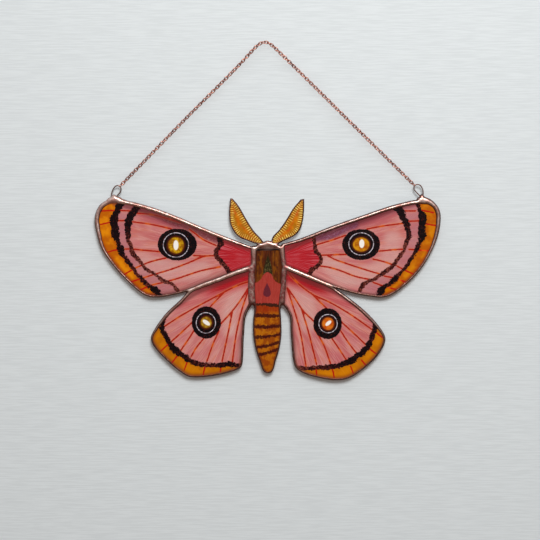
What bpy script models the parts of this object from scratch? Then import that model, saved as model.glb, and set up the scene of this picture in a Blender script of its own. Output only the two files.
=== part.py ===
# A stained glass moth that hangs from a thin chain: seven panes, each wrapped in
# copper foil and solder, joined at a neck bead, with two wire loops and a chain.
# Metres, +Z up, the moth faces -Y and its panes stand in the XZ plane.
# The origin is where a nail carries the chain, at the underside of its crown.

import bpy
import bmesh
import math
from mathutils import Matrix, Vector
from mathutils.geometry import interpolate_bezier

MM = 0.001

# Driving dimensions
GLASS_THICKNESS = 3.0 * MM
METAL_THICKNESS = 5.0 * MM      # copper foil and solder, front face to back face
GAP = 0.3 * MM                  # clearance between pieces that touch
SEAM_SHIFT = 0.2 * MM           # half the split between two edgings along a seam
MAX_TURN = math.radians(16)     # turn of an outline between two of its stations
CORNER_ROUNDING = 0.5 * MM      # on the edges of the metal

# Each edging: how far its rim stands outside the pane, and how far its lips cover it
WING_RIM = 0.9 * MM
WING_LIP = 1.0 * MM
BODY_RIM = 0.7 * MM
BODY_LIP = 0.5 * MM
ANTENNA_RIM = 0.6 * MM
ANTENNA_LIP = 0.4 * MM

LOOP_WIRE_RADIUS = 0.4 * MM
CHAIN_RADIUS = 1.15 * MM        # half the width of the chain's links
FOOT_SIZE = (2.5 * MM, 0.85 * MM, 1.9 * MM)     # half sizes of the solder at a loop
NECK_THICKNESS = 4.4 * MM

# The moth's pattern, in millimetres right of and up from the nail. A line is smooth
# through its points, and an outline has a corner wherever two lines meet.
LEFT_SEAM = [(-8.6, -148.2), (-17.5, -151.1), (-30.8, -156.2), (-44.1, -161.1), (-50.7, -163.7)]
RIGHT_SEAM = [(11.9, -148.0), (17.1, -150.2), (29.1, -155.2), (42.4, -160.6)]
LEFT_FLANK_TOP = [(-8.3, -135.7), (-8.3, -142.2), (-8.6, -148.2)]
LEFT_FLANK = [(-8.6, -148.2), (-9.4, -151.6), (-9.6, -160.2), (-9.4, -168.2), (-9.2, -172.8)]
RIGHT_FLANK_TOP = [(10.4, -135.3), (11.0, -142.2), (11.9, -148.0)]
RIGHT_FLANK = [(11.9, -148.0), (11.8, -153.5), (11.6, -162.2), (10.8, -168.2), (10.6, -172.8)]

LEFT_FOREWING_TOP = [(-8.3, -135.1), (-24.1, -129.1), (-44.1, -121.0), (-57.4, -115.3),
                     (-77.3, -108.0), (-94.0, -103.9), (-102.6, -103.1)]
LEFT_FOREWING_TIP = [(-102.6, -103.1), (-106.6, -104.2), (-110.6, -107.0), (-113.2, -111.7),
                     (-114.1, -117.0), (-112.9, -125.0), (-109.3, -136.3), (-102.6, -146.2),
                     (-94.0, -155.9), (-84.0, -164.9), (-78.7, -167.8), (-72.7, -168.4),
                     (-62.7, -167.0), (-50.7, -163.7)]
RIGHT_FOREWING_TOP = [(10.4, -132.9), (22.4, -129.2), (42.4, -121.4), (62.3, -114.4),
                      (88.9, -105.8), (98.9, -103.7), (104.9, -103.4)]
RIGHT_FOREWING_TIP = [(104.9, -103.4), (108.9, -104.1), (113.2, -107.0), (115.5, -111.7),
                      (115.8, -117.6), (114.2, -126.9), (109.5, -138.6), (102.9, -149.2),
                      (93.6, -159.2), (83.6, -166.5), (77.6, -168.4), (69.0, -167.8),
                      (55.7, -165.2), (42.4, -160.6)]
LEFT_HINDWING_EDGE = [(-50.7, -163.7), (-57.4, -170.2), (-67.4, -179.8), (-74.0, -189.1),
                      (-76.7, -195.4), (-74.7, -200.8), (-67.4, -209.1), (-57.4, -217.7),
                      (-51.4, -221.1), (-44.1, -221.5), (-32.1, -220.0), (-20.1, -216.7),
                      (-16.6, -214.3), (-15.5, -208.7), (-14.8, -193.4), (-12.8, -178.8),
                      (-9.2, -172.8)]
RIGHT_HINDWING_EDGE = [(10.6, -172.8), (15.1, -179.5), (16.1, -190.1), (17.1, -203.4),
                       (19.2, -214.4), (24.4, -218.6), (35.7, -222.0), (47.7, -223.4),
                       (55.0, -222.0), (63.6, -216.7), (73.0, -208.1), (78.6, -199.1),
                       (78.7, -193.8), (71.0, -182.8), (59.0, -171.8), (42.4, -160.6)]
BODY_TOP = [(-8.3, -135.7), (1.0, -135.5), (10.4, -135.3)]
ABDOMEN_LEFT = [(-9.2, -172.8), (-8.8, -182.1), (-8.6, -194.1), (-7.2, -202.1),
                (-4.2, -211.4), (-2.6, -216.0), (-1.2, -218.1), (1.1, -218.9)]
ABDOMEN_RIGHT = [(10.6, -172.8), (10.0, -182.1), (10.0, -194.1), (8.8, -202.1),
                 (6.1, -211.4), (4.9, -216.0), (3.5, -218.1), (1.1, -218.9)]
LEFT_ANTENNA_OUTER = [(-24.0, -102.6), (-24.7, -110.3), (-24.3, -118.3), (-22.1, -124.0),
                      (-18.2, -128.3), (-12.2, -130.9), (-5.5, -133.0)]
LEFT_ANTENNA_INNER = [(-1.5, -133.0), (-2.9, -130.3), (-8.2, -124.3), (-13.5, -116.0),
                      (-18.8, -107.0), (-22.4, -102.7)]
RIGHT_ANTENNA_OUTER = [(25.2, -102.9), (25.1, -110.3), (24.1, -118.3), (22.1, -124.0),
                       (18.4, -127.6), (11.1, -131.1), (7.1, -133.0)]
RIGHT_ANTENNA_INNER = [(3.4, -133.0), (3.9, -128.9), (8.4, -123.6), (13.1, -117.0),
                       (17.8, -109.3), (22.8, -103.3)]
NECK_UPPER = [(-6.8, -133.7), (0.8, -133.4), (9.5, -133.5)]
NECK_LOWER = [(9.5, -134.8), (0.8, -135.1), (-6.8, -134.9)]

LEFT_LOOP = [(-102.3, -101.7), (-102.9, -99.9), (-102.5, -98.0), (-101.7, -96.2),
             (-100.5, -94.6), (-98.8, -94.0), (-97.2, -94.9), (-96.6, -96.6),
             (-97.3, -98.6), (-98.6, -100.0), (-99.9, -101.7)]
RIGHT_LOOP = [(102.7, -101.5), (101.4, -100.1), (99.7, -98.4), (98.4, -96.6),
              (98.2, -95.0), (99.0, -93.7), (100.6, -93.3), (102.3, -93.8),
              (103.5, -95.4), (104.2, -97.4), (104.3, -99.0), (103.8, -101.5)]
LEFT_FOOT = (-101.1, -101.8)
RIGHT_FOOT = (103.4, -101.7)

LEFT_CHAIN = [(-96.6, -94.1), (-8.4, -3.6)]
RIGHT_CHAIN = [(97.7, -93.7), (7.0, -3.8)]
CHAIN_CROWN = [(-8.0, -3.1), (-5.7, -0.9), (-3.0, 0.7), (0.0, 1.15),
               (2.7, 0.3), (4.9, -1.5), (6.6, -3.3)]

# Finishes: colour, roughness, metallic
PINK_GLASS = ("pink glass", (0.62, 0.27, 0.25), 0.25, 0.0)
AMBER_GLASS = ("amber glass", (0.62, 0.26, 0.02), 0.25, 0.0)
BODY_GLASS = ("painted body glass", (0.45, 0.12, 0.04), 0.3, 0.0)
SOLDER = ("copper tinted solder", (0.62, 0.45, 0.40), 0.3, 1.0)
COPPER = ("copper", (0.60, 0.30, 0.22), 0.3, 1.0)


def clear_scene():
    for item in list(bpy.data.objects):
        bpy.data.objects.remove(item, do_unlink=True)


def new_collection(name):
    group = bpy.data.collections.new(name)
    bpy.context.scene.collection.children.link(group)
    return group


def finish_material(finish):
    name, colour, roughness, metallic = finish
    material = bpy.data.materials.get(name)
    if material is None:
        material = bpy.data.materials.new(name)
        material.use_nodes = True
        shader = material.node_tree.nodes["Principled BSDF"]
        shader.inputs["Base Color"].default_value = (*colour, 1.0)
        shader.inputs["Roughness"].default_value = roughness
        shader.inputs["Metallic"].default_value = metallic
    return material


def smooth_line(points):
    """Stations along a smooth curve through the points, closer where it turns more."""
    knots = [Vector((x, y, 0.0)) * MM for x, y in points]
    padded = [2 * knots[0] - knots[1]] + knots + [2 * knots[-1] - knots[-2]]
    stations = []
    for before, start, end, after in zip(padded, padded[1:], padded[2:], padded[3:]):
        leave = (end - before).normalized()
        arrive = (after - start).normalized()
        reach = (end - start).length / 3
        steps = max(1, math.ceil(leave.angle(arrive) / MAX_TURN))
        curve = interpolate_bezier(start, start + leave * reach, end - arrive * reach, end, steps + 1)
        stations += curve[:-1]
    return stations + [knots[-1]]


def shifted(line, x, y):
    return [point + Vector((x, y, 0.0)) for point in line]


def outline(*lines):
    """One closed, counterclockwise loop from lines that meet at corners."""
    loop = []
    for line in lines:
        for point in line:
            if not loop or (point - loop[-1]).length > GAP:
                loop.append(point)
    if (loop[0] - loop[-1]).length <= GAP:
        loop.pop()
    turning = sum(a.x * b.y - b.x * a.y for a, b in zip(loop, loop[1:] + loop[:1]))
    return loop if turning > 0 else loop[::-1]


def inset(loop, depth):
    """The loop moved inwards by depth, its corners mitred."""
    moved = []
    for back, point, ahead in zip(loop[-1:] + loop[:-1], loop, loop[1:] + loop[:1]):
        into = (point - back).normalized()
        out = (ahead - point).normalized()
        normal = Vector((-into.y - out.y, into.x + out.x, 0.0)).normalized()
        miter = max(0.4, normal.dot(Vector((-out.y, out.x, 0.0))))
        moved.append(point + normal * (depth / miter))
    return moved


def mesh_from_curve(piece, group):
    """The curve object as a welded mesh object in the same place."""
    bpy.context.view_layer.update()
    evaluated = piece.evaluated_get(bpy.context.evaluated_depsgraph_get())
    mesh = bpy.data.meshes.new_from_object(evaluated)
    welded = bmesh.new()
    welded.from_mesh(mesh)
    bmesh.ops.remove_doubles(welded, verts=welded.verts, dist=0.01 * MM)
    bmesh.ops.recalc_face_normals(welded, faces=welded.faces)
    welded.to_mesh(mesh)
    welded.free()
    name = piece.name
    matrix = piece.matrix_world.copy()
    curve = piece.data
    bpy.data.objects.remove(piece)
    bpy.data.curves.remove(curve)
    mesh.name = name
    solid = bpy.data.objects.new(name, mesh)
    solid.matrix_world = matrix
    group.objects.link(solid)
    return solid


def plate(name, loops, thickness, group, rounding=0.0):
    """A flat outline with its holes, standing upright, centred on the panes' plane."""
    curve = bpy.data.curves.new(name, "CURVE")
    curve.dimensions = "2D"
    curve.fill_mode = "BOTH"
    curve.extrude = thickness / 2 - rounding
    curve.bevel_depth = rounding
    curve.bevel_resolution = 0
    curve.offset = -rounding
    for loop in loops:
        spline = curve.splines.new("POLY")
        spline.points.add(len(loop) - 1)
        for knot, point in zip(spline.points, loop):
            knot.co = (point.x, point.y, 0.0, 1.0)
        spline.use_cyclic_u = True
    piece = bpy.data.objects.new(name, curve)
    piece.rotation_euler = (math.pi / 2, 0.0, 0.0)
    group.objects.link(piece)
    return mesh_from_curve(piece, group)


def wire(name, line, radius, group):
    """A round wire along a line, with flat ends."""
    curve = bpy.data.curves.new(name, "CURVE")
    curve.dimensions = "3D"
    curve.bevel_depth = radius
    curve.bevel_resolution = 2
    curve.use_fill_caps = True
    spline = curve.splines.new("POLY")
    spline.points.add(len(line) - 1)
    for knot, point in zip(spline.points, line):
        knot.co = (point.x, point.y, 0.0, 1.0)
    piece = bpy.data.objects.new(name, curve)
    piece.rotation_euler = (math.pi / 2, 0.0, 0.0)
    group.objects.link(piece)
    return mesh_from_curve(piece, group)


def set_finish(piece, finish):
    piece.data.materials.clear()
    piece.data.materials.append(finish_material(finish))


def combine(piece, operation, other):
    change = piece.modifiers.new(operation.lower(), "BOOLEAN")
    change.operation = operation
    change.object = other
    other.hide_render = True
    other.display_type = "WIRE"


def framed_pane(name, loop, rim, lip, glass, parts, cutters):
    """A pane of glass and the channel of foil and solder that holds its edge."""
    pane = plate(name + "_glass", [inset(loop, rim)], GLASS_THICKNESS, parts)
    set_finish(pane, glass)
    edging = plate(name + "_edging", [loop, inset(loop, rim + lip)], METAL_THICKNESS, parts, CORNER_ROUNDING)
    set_finish(edging, SOLDER)
    channel = plate(name + "_channel", [inset(loop, rim - GAP)], GLASS_THICKNESS + 2 * GAP, cutters)
    combine(edging, "DIFFERENCE", channel)


def hanging_loop(name, points, foot_place, parts, cutters):
    """A wire loop with its two legs in a foot of solder on the wing's edging."""
    ring = wire(name, smooth_line(points), LOOP_WIRE_RADIUS, parts)
    set_finish(ring, SOLDER)
    foot = bmesh.new()
    bmesh.ops.create_uvsphere(foot, u_segments=14, v_segments=8, radius=1.0)
    across, up, deep = FOOT_SIZE
    bmesh.ops.transform(foot, matrix=Matrix.Diagonal((across, deep, up, 1.0)), verts=foot.verts)
    mesh = bpy.data.meshes.new(name + "_foot")
    foot.to_mesh(mesh)
    foot.free()
    lump = bpy.data.objects.new(name + "_foot", mesh)
    lump.location = (foot_place[0] * MM, 0.0, foot_place[1] * MM)
    cutters.objects.link(lump)
    combine(ring, "UNION", lump)


def build_wings(parts, cutters):
    left_seam = smooth_line(LEFT_SEAM)
    right_seam = smooth_line(RIGHT_SEAM)
    framed_pane("left_forewing", outline(
        smooth_line(LEFT_FOREWING_TOP), smooth_line(LEFT_FOREWING_TIP),
        shifted(left_seam[::-1], 0.0, SEAM_SHIFT),
        shifted(smooth_line(LEFT_FLANK_TOP)[::-1], -SEAM_SHIFT, 0.0)[1:],
    ), WING_RIM, WING_LIP, PINK_GLASS, parts, cutters)
    framed_pane("right_forewing", outline(
        smooth_line(RIGHT_FOREWING_TOP), smooth_line(RIGHT_FOREWING_TIP),
        shifted(right_seam[::-1], 0.0, SEAM_SHIFT),
        shifted(smooth_line(RIGHT_FLANK_TOP)[::-1], SEAM_SHIFT, 0.0)[1:],
    ), WING_RIM, WING_LIP, PINK_GLASS, parts, cutters)
    framed_pane("left_hindwing", outline(
        shifted(left_seam, -SEAM_SHIFT, -SEAM_SHIFT), smooth_line(LEFT_HINDWING_EDGE)[1:-1],
        shifted(smooth_line(LEFT_FLANK)[::-1], -SEAM_SHIFT, 0.0)[:-1],
    ), WING_RIM, WING_LIP, PINK_GLASS, parts, cutters)
    framed_pane("right_hindwing", outline(
        shifted(right_seam, SEAM_SHIFT, -SEAM_SHIFT), smooth_line(RIGHT_HINDWING_EDGE)[::-1][1:-1],
        shifted(smooth_line(RIGHT_FLANK)[::-1], SEAM_SHIFT, 0.0)[:-1],
    ), WING_RIM, WING_LIP, PINK_GLASS, parts, cutters)


def build_body(parts, cutters):
    framed_pane("body", outline(
        smooth_line(BODY_TOP)[1:-1],
        shifted(smooth_line(RIGHT_FLANK_TOP), -SEAM_SHIFT, 0.0),
        shifted(smooth_line(RIGHT_FLANK)[1:], -SEAM_SHIFT, 0.0),
        smooth_line(ABDOMEN_RIGHT)[1:],
        smooth_line(ABDOMEN_LEFT)[::-1][1:-1],
        shifted(smooth_line(LEFT_FLANK)[::-1], SEAM_SHIFT, 0.0),
        shifted(smooth_line(LEFT_FLANK_TOP)[::-1][1:], SEAM_SHIFT, 0.0),
    ), BODY_RIM, BODY_LIP, BODY_GLASS, parts, cutters)
    neck = plate("neck_solder", [outline(smooth_line(NECK_UPPER), smooth_line(NECK_LOWER))],
                 NECK_THICKNESS, parts, GAP)
    set_finish(neck, SOLDER)


def build_antennae(parts, cutters):
    framed_pane("left_antenna", outline(
        smooth_line(LEFT_ANTENNA_OUTER), smooth_line(LEFT_ANTENNA_INNER),
    ), ANTENNA_RIM, ANTENNA_LIP, AMBER_GLASS, parts, cutters)
    framed_pane("right_antenna", outline(
        smooth_line(RIGHT_ANTENNA_OUTER), smooth_line(RIGHT_ANTENNA_INNER),
    ), ANTENNA_RIM, ANTENNA_LIP, AMBER_GLASS, parts, cutters)


def build_hanging(parts, cutters):
    hanging_loop("left_hanging_loop", LEFT_LOOP, LEFT_FOOT, parts, cutters)
    hanging_loop("right_hanging_loop", RIGHT_LOOP, RIGHT_FOOT, parts, cutters)
    for name, points in (("left_chain", LEFT_CHAIN), ("right_chain", RIGHT_CHAIN), ("chain_crown", CHAIN_CROWN)):
        set_finish(wire(name, smooth_line(points), CHAIN_RADIUS, parts), COPPER)


clear_scene()
moth = new_collection("stained glass moth")
cutters = new_collection("cutters")
build_wings(moth, cutters)
build_body(moth, cutters)
build_antennae(moth, cutters)
build_hanging(moth, cutters)
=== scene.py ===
import math

import bpy
import numpy as np
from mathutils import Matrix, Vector


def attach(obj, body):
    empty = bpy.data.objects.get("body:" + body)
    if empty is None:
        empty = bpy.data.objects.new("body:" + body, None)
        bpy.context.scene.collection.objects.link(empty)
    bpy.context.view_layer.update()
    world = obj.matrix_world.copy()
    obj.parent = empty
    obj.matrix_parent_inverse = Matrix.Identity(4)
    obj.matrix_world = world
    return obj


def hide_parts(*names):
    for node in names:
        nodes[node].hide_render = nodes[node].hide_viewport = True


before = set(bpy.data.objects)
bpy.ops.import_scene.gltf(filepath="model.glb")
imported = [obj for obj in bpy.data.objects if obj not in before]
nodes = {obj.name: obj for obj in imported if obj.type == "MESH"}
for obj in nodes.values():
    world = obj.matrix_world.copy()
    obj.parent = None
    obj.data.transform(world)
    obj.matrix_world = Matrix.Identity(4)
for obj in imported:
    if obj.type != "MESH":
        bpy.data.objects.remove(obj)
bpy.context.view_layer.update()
bpy.context.scene.view_settings.view_transform = "Standard"
mm = 0.001  # the pattern is drawn in millimetres from the origin, x to the right and z up
print("frame loaded, parts:", len(nodes))


# a smooth line through given points; a third column, such as a width, is carried along
def smoothLine(points, step=0.4, closed=False):
    p = np.array(points, float)
    if closed:
        p = np.vstack([p[-1:], p, p[:2]])
    else:
        p = np.vstack([2 * p[:1] - p[1:2], p, 2 * p[-1:] - p[-2:-1]])
    span = np.maximum(np.linalg.norm(np.diff(p[:, :2], axis=0), axis=1), 1e-6)
    slope = np.diff(p, axis=0) / span[:, None]
    lean = (slope[:-1] * span[1:, None] + slope[1:] * span[:-1, None]) / (span[:-1] + span[1:])[:, None]
    out = []
    for i in range(len(lean) - 1):
        a, b, length = p[i + 1], p[i + 2], span[i + 1]
        count = max(1, int(round(length / step)))
        t = (np.arange(count) / count)[:, None]
        out.append((2 * t**3 - 3 * t**2 + 1) * a + (t**3 - 2 * t**2 + t) * length * lean[i]
                   + (3 * t**2 - 2 * t**3) * b + (t**3 - t**2) * length * lean[i + 1])
    if not closed:
        out.append(p[-2:-1])
    return np.vstack(out)


# for each place: how far the line is, the side it is on (+ is left of the line's run),
# how far along, and the row
def nearest(places, line, closed=False):
    a = line[:, :2] if closed else line[:-1, :2]
    run = (np.roll(line, -1, 0) if closed else line[1:])[:len(a), :2] - a
    square = np.maximum((run**2).sum(1), 1e-12)
    start = np.concatenate([[0], np.cumsum(np.sqrt(square))])
    found = np.empty((4, len(places)))
    for first in range(0, len(places), 6000):
        part = places[first:first + 6000]
        ax, az = part[:, :1] - a[:, 0], part[:, 1:2] - a[:, 1]
        t = np.clip((ax * run[:, 0] + az * run[:, 1]) / square, 0, 1)
        far = (ax - t * run[:, 0])**2 + (az - t * run[:, 1])**2
        i, row = far.argmin(1), np.arange(len(part))
        t = t[row, i]
        side = np.sign(run[i, 0] * az[row, i] - run[i, 1] * ax[row, i])
        along = start[i] + t * np.sqrt(square[i])
        found[:, first:first + 6000] = np.sqrt(far[row, i]), side, along, i + t
    return found


# whether each place lies inside a closed loop
def insideLoop(places, loop):
    flag = np.zeros(len(places), bool)
    x, z = places[:, 0], places[:, 1]
    for (x1, z1), (x2, z2) in zip(loop, np.roll(loop, -1, 0)):
        if z1 != z2:
            flag ^= ((z1 > z) != (z2 > z)) & (x < (x2 - x1) * (z - z1) / (z2 - z1) + x1)
    return flag


# how deep each place lies inside a loop (minus outside it), and how far along the loop
# its nearest point is
def depthIn(places, loop, reach=4.0):
    near = ((places > loop.min(0) - reach) & (places < loop.max(0) + reach)).all(1)
    depth, along = np.full(len(places), -float(reach)), np.zeros(len(places))
    if near.any():
        found = nearest(places[near], loop, True)
        depth[near] = np.maximum(np.where(insideLoop(places[near], loop), found[0], -found[0]), -reach)
        along[near] = found[2]
    return depth, along


# the outline of a solid of the frame where its walls are widest, in millimetres;
# level is the depth of that edge
def nodeLoop(name, level, step=0.5, corner=30):
    mesh = nodes[name].data
    place = np.array([v.co for v in mesh.vertices]) / mm
    key = {}
    weld = [key.setdefault((round(p[0], 3), round(p[2], 3)), len(key)) for p in place]
    meet = {}
    for face in mesh.polygons:
        ends = [weld[i] for i in face.vertices if abs(place[i, 1] - level) < 0.05]
        if abs(face.normal.y) < 0.3 and len(ends) == 2:
            meet.setdefault(ends[0], set()).add(ends[1])
            meet.setdefault(ends[1], set()).add(ends[0])
    spots = np.array(list(key))
    loops = []
    while meet:
        here = next(iter(meet))
        loop = []
        while here is not None:
            loop.append(spots[here])
            ahead = meet.pop(here)
            here = next((n for n in ahead if n in meet), None)
        loops.append(np.array(loop))
    area = [np.cross(p, np.roll(p, -1, 0)).sum() / 2 for p in loops]
    best = int(np.argmax(np.abs(area)))
    loop = loops[best] if area[best] > 0 else loops[best][::-1]
    before, after = loop - np.roll(loop, 1, 0), np.roll(loop, -1, 0) - loop
    turn = np.degrees(np.arctan2(np.cross(before, after), (before * after).sum(1)))
    sharp = np.flatnonzero(np.abs(turn) > corner)
    if len(sharp) == 0:
        return smoothLine(loop, step, True)
    loop = np.roll(loop, -sharp[0], 0)
    cuts = list(sharp - sharp[0]) + [len(loop)]
    loop = np.vstack([loop, loop[:1]])
    return np.vstack([smoothLine(loop[a:b + 1], step)[:-1] for a, b in zip(cuts, cuts[1:])])


# a flat sheet of triangles over the area where field is above 0, its edge on the line where field is 0
def cutSheet(field, low, high, cell):
    xs = np.arange(low[0], high[0] + cell, cell)
    zs = np.arange(low[1], high[1] + cell, cell)
    gx, gz = np.meshgrid(xs, zs, indexing="ij")
    value = field(np.stack([gx.ravel(), gz.ravel()], 1)).reshape(gx.shape)
    sx, sz = np.gradient(value, cell)
    steep = np.sqrt(sx**2 + sz**2) + 1e-9
    snap = np.abs(value) < 0.3 * cell * np.maximum(steep, 0.3)  # nodes close to the edge move onto it
    move = np.where(snap, np.clip(-value / steep, -0.3 * cell, 0.3 * cell) / steep, 0)
    gx, gz, value = gx + move * sx, gz + move * sz, np.where(snap, 0, value).ravel()
    points = np.stack([gx.ravel(), gz.ravel()], 1)
    number = np.arange(gx.size).reshape(gx.shape)
    a, b, c, d = number[:-1, :-1], number[1:, :-1], number[1:, 1:], number[:-1, 1:]
    even = (np.add.outer(np.arange(a.shape[0]), np.arange(a.shape[1])) % 2 == 0)
    one = np.where(even[..., None], np.stack([a, b, c], -1), np.stack([a, b, d], -1)).reshape(-1, 3)
    two = np.where(even[..., None], np.stack([a, c, d], -1), np.stack([b, c, d], -1)).reshape(-1, 3)
    both = np.vstack([one, two])
    worth = value[both]
    some = (worth > 0).any(1)
    whole = both[some & (worth >= 0).all(1)]
    cuts, extra, clipped = {}, [], []
    for triangle in both[some & (worth < 0).any(1)].tolist():
        shape = []
        for i, j in zip(triangle, triangle[1:] + triangle[:1]):
            if value[i] >= 0:
                shape.append(i)
            if value[i] * value[j] < 0:
                edge = (min(i, j), max(i, j))
                if edge not in cuts:
                    t = value[i] / (value[i] - value[j])
                    cuts[edge] = len(points) + len(extra)
                    extra.append(points[i] * (1 - t) + points[j] * t)
                shape.append(cuts[edge])
        clipped += [[shape[0], shape[k], shape[k + 1]] for k in range(1, len(shape) - 1)]
    triangles = np.vstack([whole, np.array(clipped, int).reshape(-1, 3)])
    points = np.vstack([points, np.array(extra).reshape(-1, 2)])
    used, triangles = np.unique(triangles, return_inverse=True)
    triangles = triangles.reshape(-1, 3)
    edges = np.vstack([triangles[:, [0, 1]], triangles[:, [1, 2]], triangles[:, [2, 0]]])
    code = edges[:, 0] * len(used) + edges[:, 1]
    rim = edges[~np.isin(code, edges[:, 1] * len(used) + edges[:, 0])]
    return points[used], triangles, rim


# a closed body from a sheet: its front and back at the given depths, and a wall along its edge
def slab(name, sheet, front, back, notes, material, rounded=False):
    points, triangles, rim = sheet
    count = len(points)
    spots = np.zeros((2 * count, 3))
    spots[:, [0, 2]] = np.vstack([points, points])
    spots[:count, 1], spots[count:, 1] = front, back
    faces = triangles.tolist() + (triangles[:, ::-1] + count).tolist()
    faces += [[a, a + count, b + count, b] for a, b in rim.tolist()]
    mesh = bpy.data.meshes.new(name)
    mesh.from_pydata((spots * mm).tolist(), [], faces)
    mesh.polygons.foreach_set("use_smooth", [rounded] * len(mesh.polygons))
    for title, values in notes.items():
        values = np.asarray(values, float)
        if values.ndim == 1:
            mesh.attributes.new(title, "FLOAT", "POINT").data.foreach_set("value", np.tile(values, 2))
        else:
            mesh.attributes.new(title, "FLOAT_VECTOR", "POINT").data.foreach_set(
                "vector", np.tile(values, (2, 1)).ravel())
    return placePiece(mesh, name, material)


# a mesh becomes a piece of the part, in its material slot
def placePiece(mesh, name, material):
    mesh.materials.append(material)
    mesh.update()
    piece = bpy.data.objects.new(name, mesh)
    bpy.context.scene.collection.objects.link(piece)
    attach(piece, "root")
    print("made", name, "with", len(mesh.polygons), "faces")
    return piece


# a smooth step from 0 at low to 1 at high
def ease(value, low, high):
    t = np.clip((value - low) / (high - low), 0, 1)
    return t * t * (3 - 2 * t)


# soft seeded unevenness of about the given size, from -1 to 1
def lumps(places, size, seed, count=22):
    chance = np.random.default_rng(seed)
    angle = chance.uniform(0, 2 * math.pi, count)
    wave = 2 * math.pi / size * chance.uniform(0.6, 1.5, count)
    shift = chance.uniform(0, 2 * math.pi, count)
    total = sum(np.sin(places @ (w * np.array([math.cos(g), math.sin(g)])) + s)
                for g, w, s in zip(angle, wave, shift))
    return total / math.sqrt(count * 2)


# a line run on straight at both ends
def extended(line, length=12):
    line = np.array(line, float)[:, :2]
    first, last = line[0] - line[1], line[-1] - line[-2]
    return np.vstack([line[0] + first / np.linalg.norm(first) * length, line,
                      line[-1] + last / np.linalg.norm(last) * length])


# how deep each place lies inside a stroke whose points carry its half-width
def strokeDepth(places, points, step=0.8):
    line = smoothLine(points, step)
    far, _, _, row = nearest(places, line)
    return np.interp(row, np.arange(len(line)), line[:, 2]) - far


# a pane's sheet, cut to its loop and tucked a little way under the metal
def paneSheet(loop, look):
    return cutSheet(lambda places: depthIn(places, loop, 2)[0] + look["tuck"],
                    loop.min(0) - 1, loop.max(0) + 1, look["cell"])


# a colour as a painter reads it, in levels from 0 to 255
def srgb(red, green, blue):
    return tuple((c / 255 / 12.92 if c <= 10 else ((c / 255 + 0.055) / 1.055)**2.4)
                 for c in (red, green, blue)) + (1,)


# one material, with short calls that add its nodes
class Finish:
    def __init__(self, name):
        self.material = bpy.data.materials.new(name)
        self.material.use_nodes = True
        self.tree = self.material.node_tree
        self.tree.nodes.clear()
        self.output = self.add("ShaderNodeOutputMaterial")
        self.shader = self.add("ShaderNodeBsdfPrincipled")
        self.tree.links.new(self.shader.outputs[0], self.output.inputs[0])
        inMm = self.add("ShaderNodeVectorMath", operation="SCALE")
        self.tree.links.new(self.add("ShaderNodeTexCoord").outputs["Object"], inMm.inputs[0])
        inMm.inputs["Scale"].default_value = 1000
        self.place = inMm.outputs[0]  # where a point is, in millimetres

    def add(self, kind, **settings):
        node = self.tree.nodes.new(kind)
        for title, value in settings.items():
            setattr(node, title, value)
        return node

    def feed(self, socket, value):
        if isinstance(value, bpy.types.NodeSocket):
            self.tree.links.new(value, socket)
        else:
            socket.default_value = value

    # a value stored on the mesh
    def note(self, title, output="Fac"):
        return self.add("ShaderNodeAttribute", attribute_name=title).outputs[output]

    # one step of arithmetic
    def calc(self, operation, first, second=0.0, third=0.0):
        node = self.add("ShaderNodeMath", operation=operation)
        for socket, value in zip(node.inputs, (first, second, third)):
            self.feed(socket, value)
        return node.outputs[0]

    def times(self, first, second):
        return self.calc("MULTIPLY", first, second)

    # a value stirred up by noise
    def stir(self, value, noise, amount, middle=0.5):
        return self.calc("ADD", value, self.times(self.calc("SUBTRACT", noise, middle), amount))

    # a smooth step from start at low to end at high
    def ramp(self, value, low, high, start=0.0, end=1.0):
        node = self.add("ShaderNodeMapRange", interpolation_type="SMOOTHSTEP")
        for title, number in (("Value", value), ("From Min", low), ("From Max", high),
                              ("To Min", start), ("To Max", end)):
            self.feed(node.inputs[title], number)
        return node.outputs[0]

    def mix(self, share, first, second, blend="MIX"):
        node = self.add("ShaderNodeMix", data_type="RGBA", blend_type=blend)
        self.feed(node.inputs["Factor"], share)
        self.feed([s for s in node.inputs if s.type == "RGBA"][0], first)
        self.feed([s for s in node.inputs if s.type == "RGBA"][1], second)
        return [s for s in node.outputs if s.type == "RGBA"][0]

    def stretch(self, vector, by):
        node = self.add("ShaderNodeVectorMath", operation="MULTIPLY")
        self.feed(node.inputs[0], vector)
        node.inputs[1].default_value = by
        return node.outputs[0]

    # noise from 0 to 1
    def grainy(self, vector, scale, detail=3.0, rough=0.55, twist=0.0):
        node = self.add("ShaderNodeTexNoise")
        self.feed(node.inputs["Vector"], vector)
        for title, number in (("Scale", scale), ("Detail", detail), ("Roughness", rough),
                              ("Distortion", twist)):
            node.inputs[title].default_value = number
        # noise keeps near its middle, so it is spread over 0 to 1
        spread = self.add("ShaderNodeMapRange")
        spread.inputs["From Min"].default_value, spread.inputs["From Max"].default_value = 0.3, 0.7
        self.feed(spread.inputs["Value"], node.outputs[0])
        return spread.outputs[0]

    def relief(self, height, distance):
        node = self.add("ShaderNodeBump")
        node.inputs["Strength"].default_value = 1.0
        node.inputs["Distance"].default_value = distance * mm
        self.feed(node.inputs["Height"], height)
        self.feed(self.shader.inputs["Normal"], node.outputs[0])

    def set(self, **values):
        for title, value in values.items():
            self.feed(self.shader.inputs[title.replace("_", " ")], value)


glassSurface = {"IOR": 1.5, "Specular_IOR_Level": 0.12}  # the same polish on every pane
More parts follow.
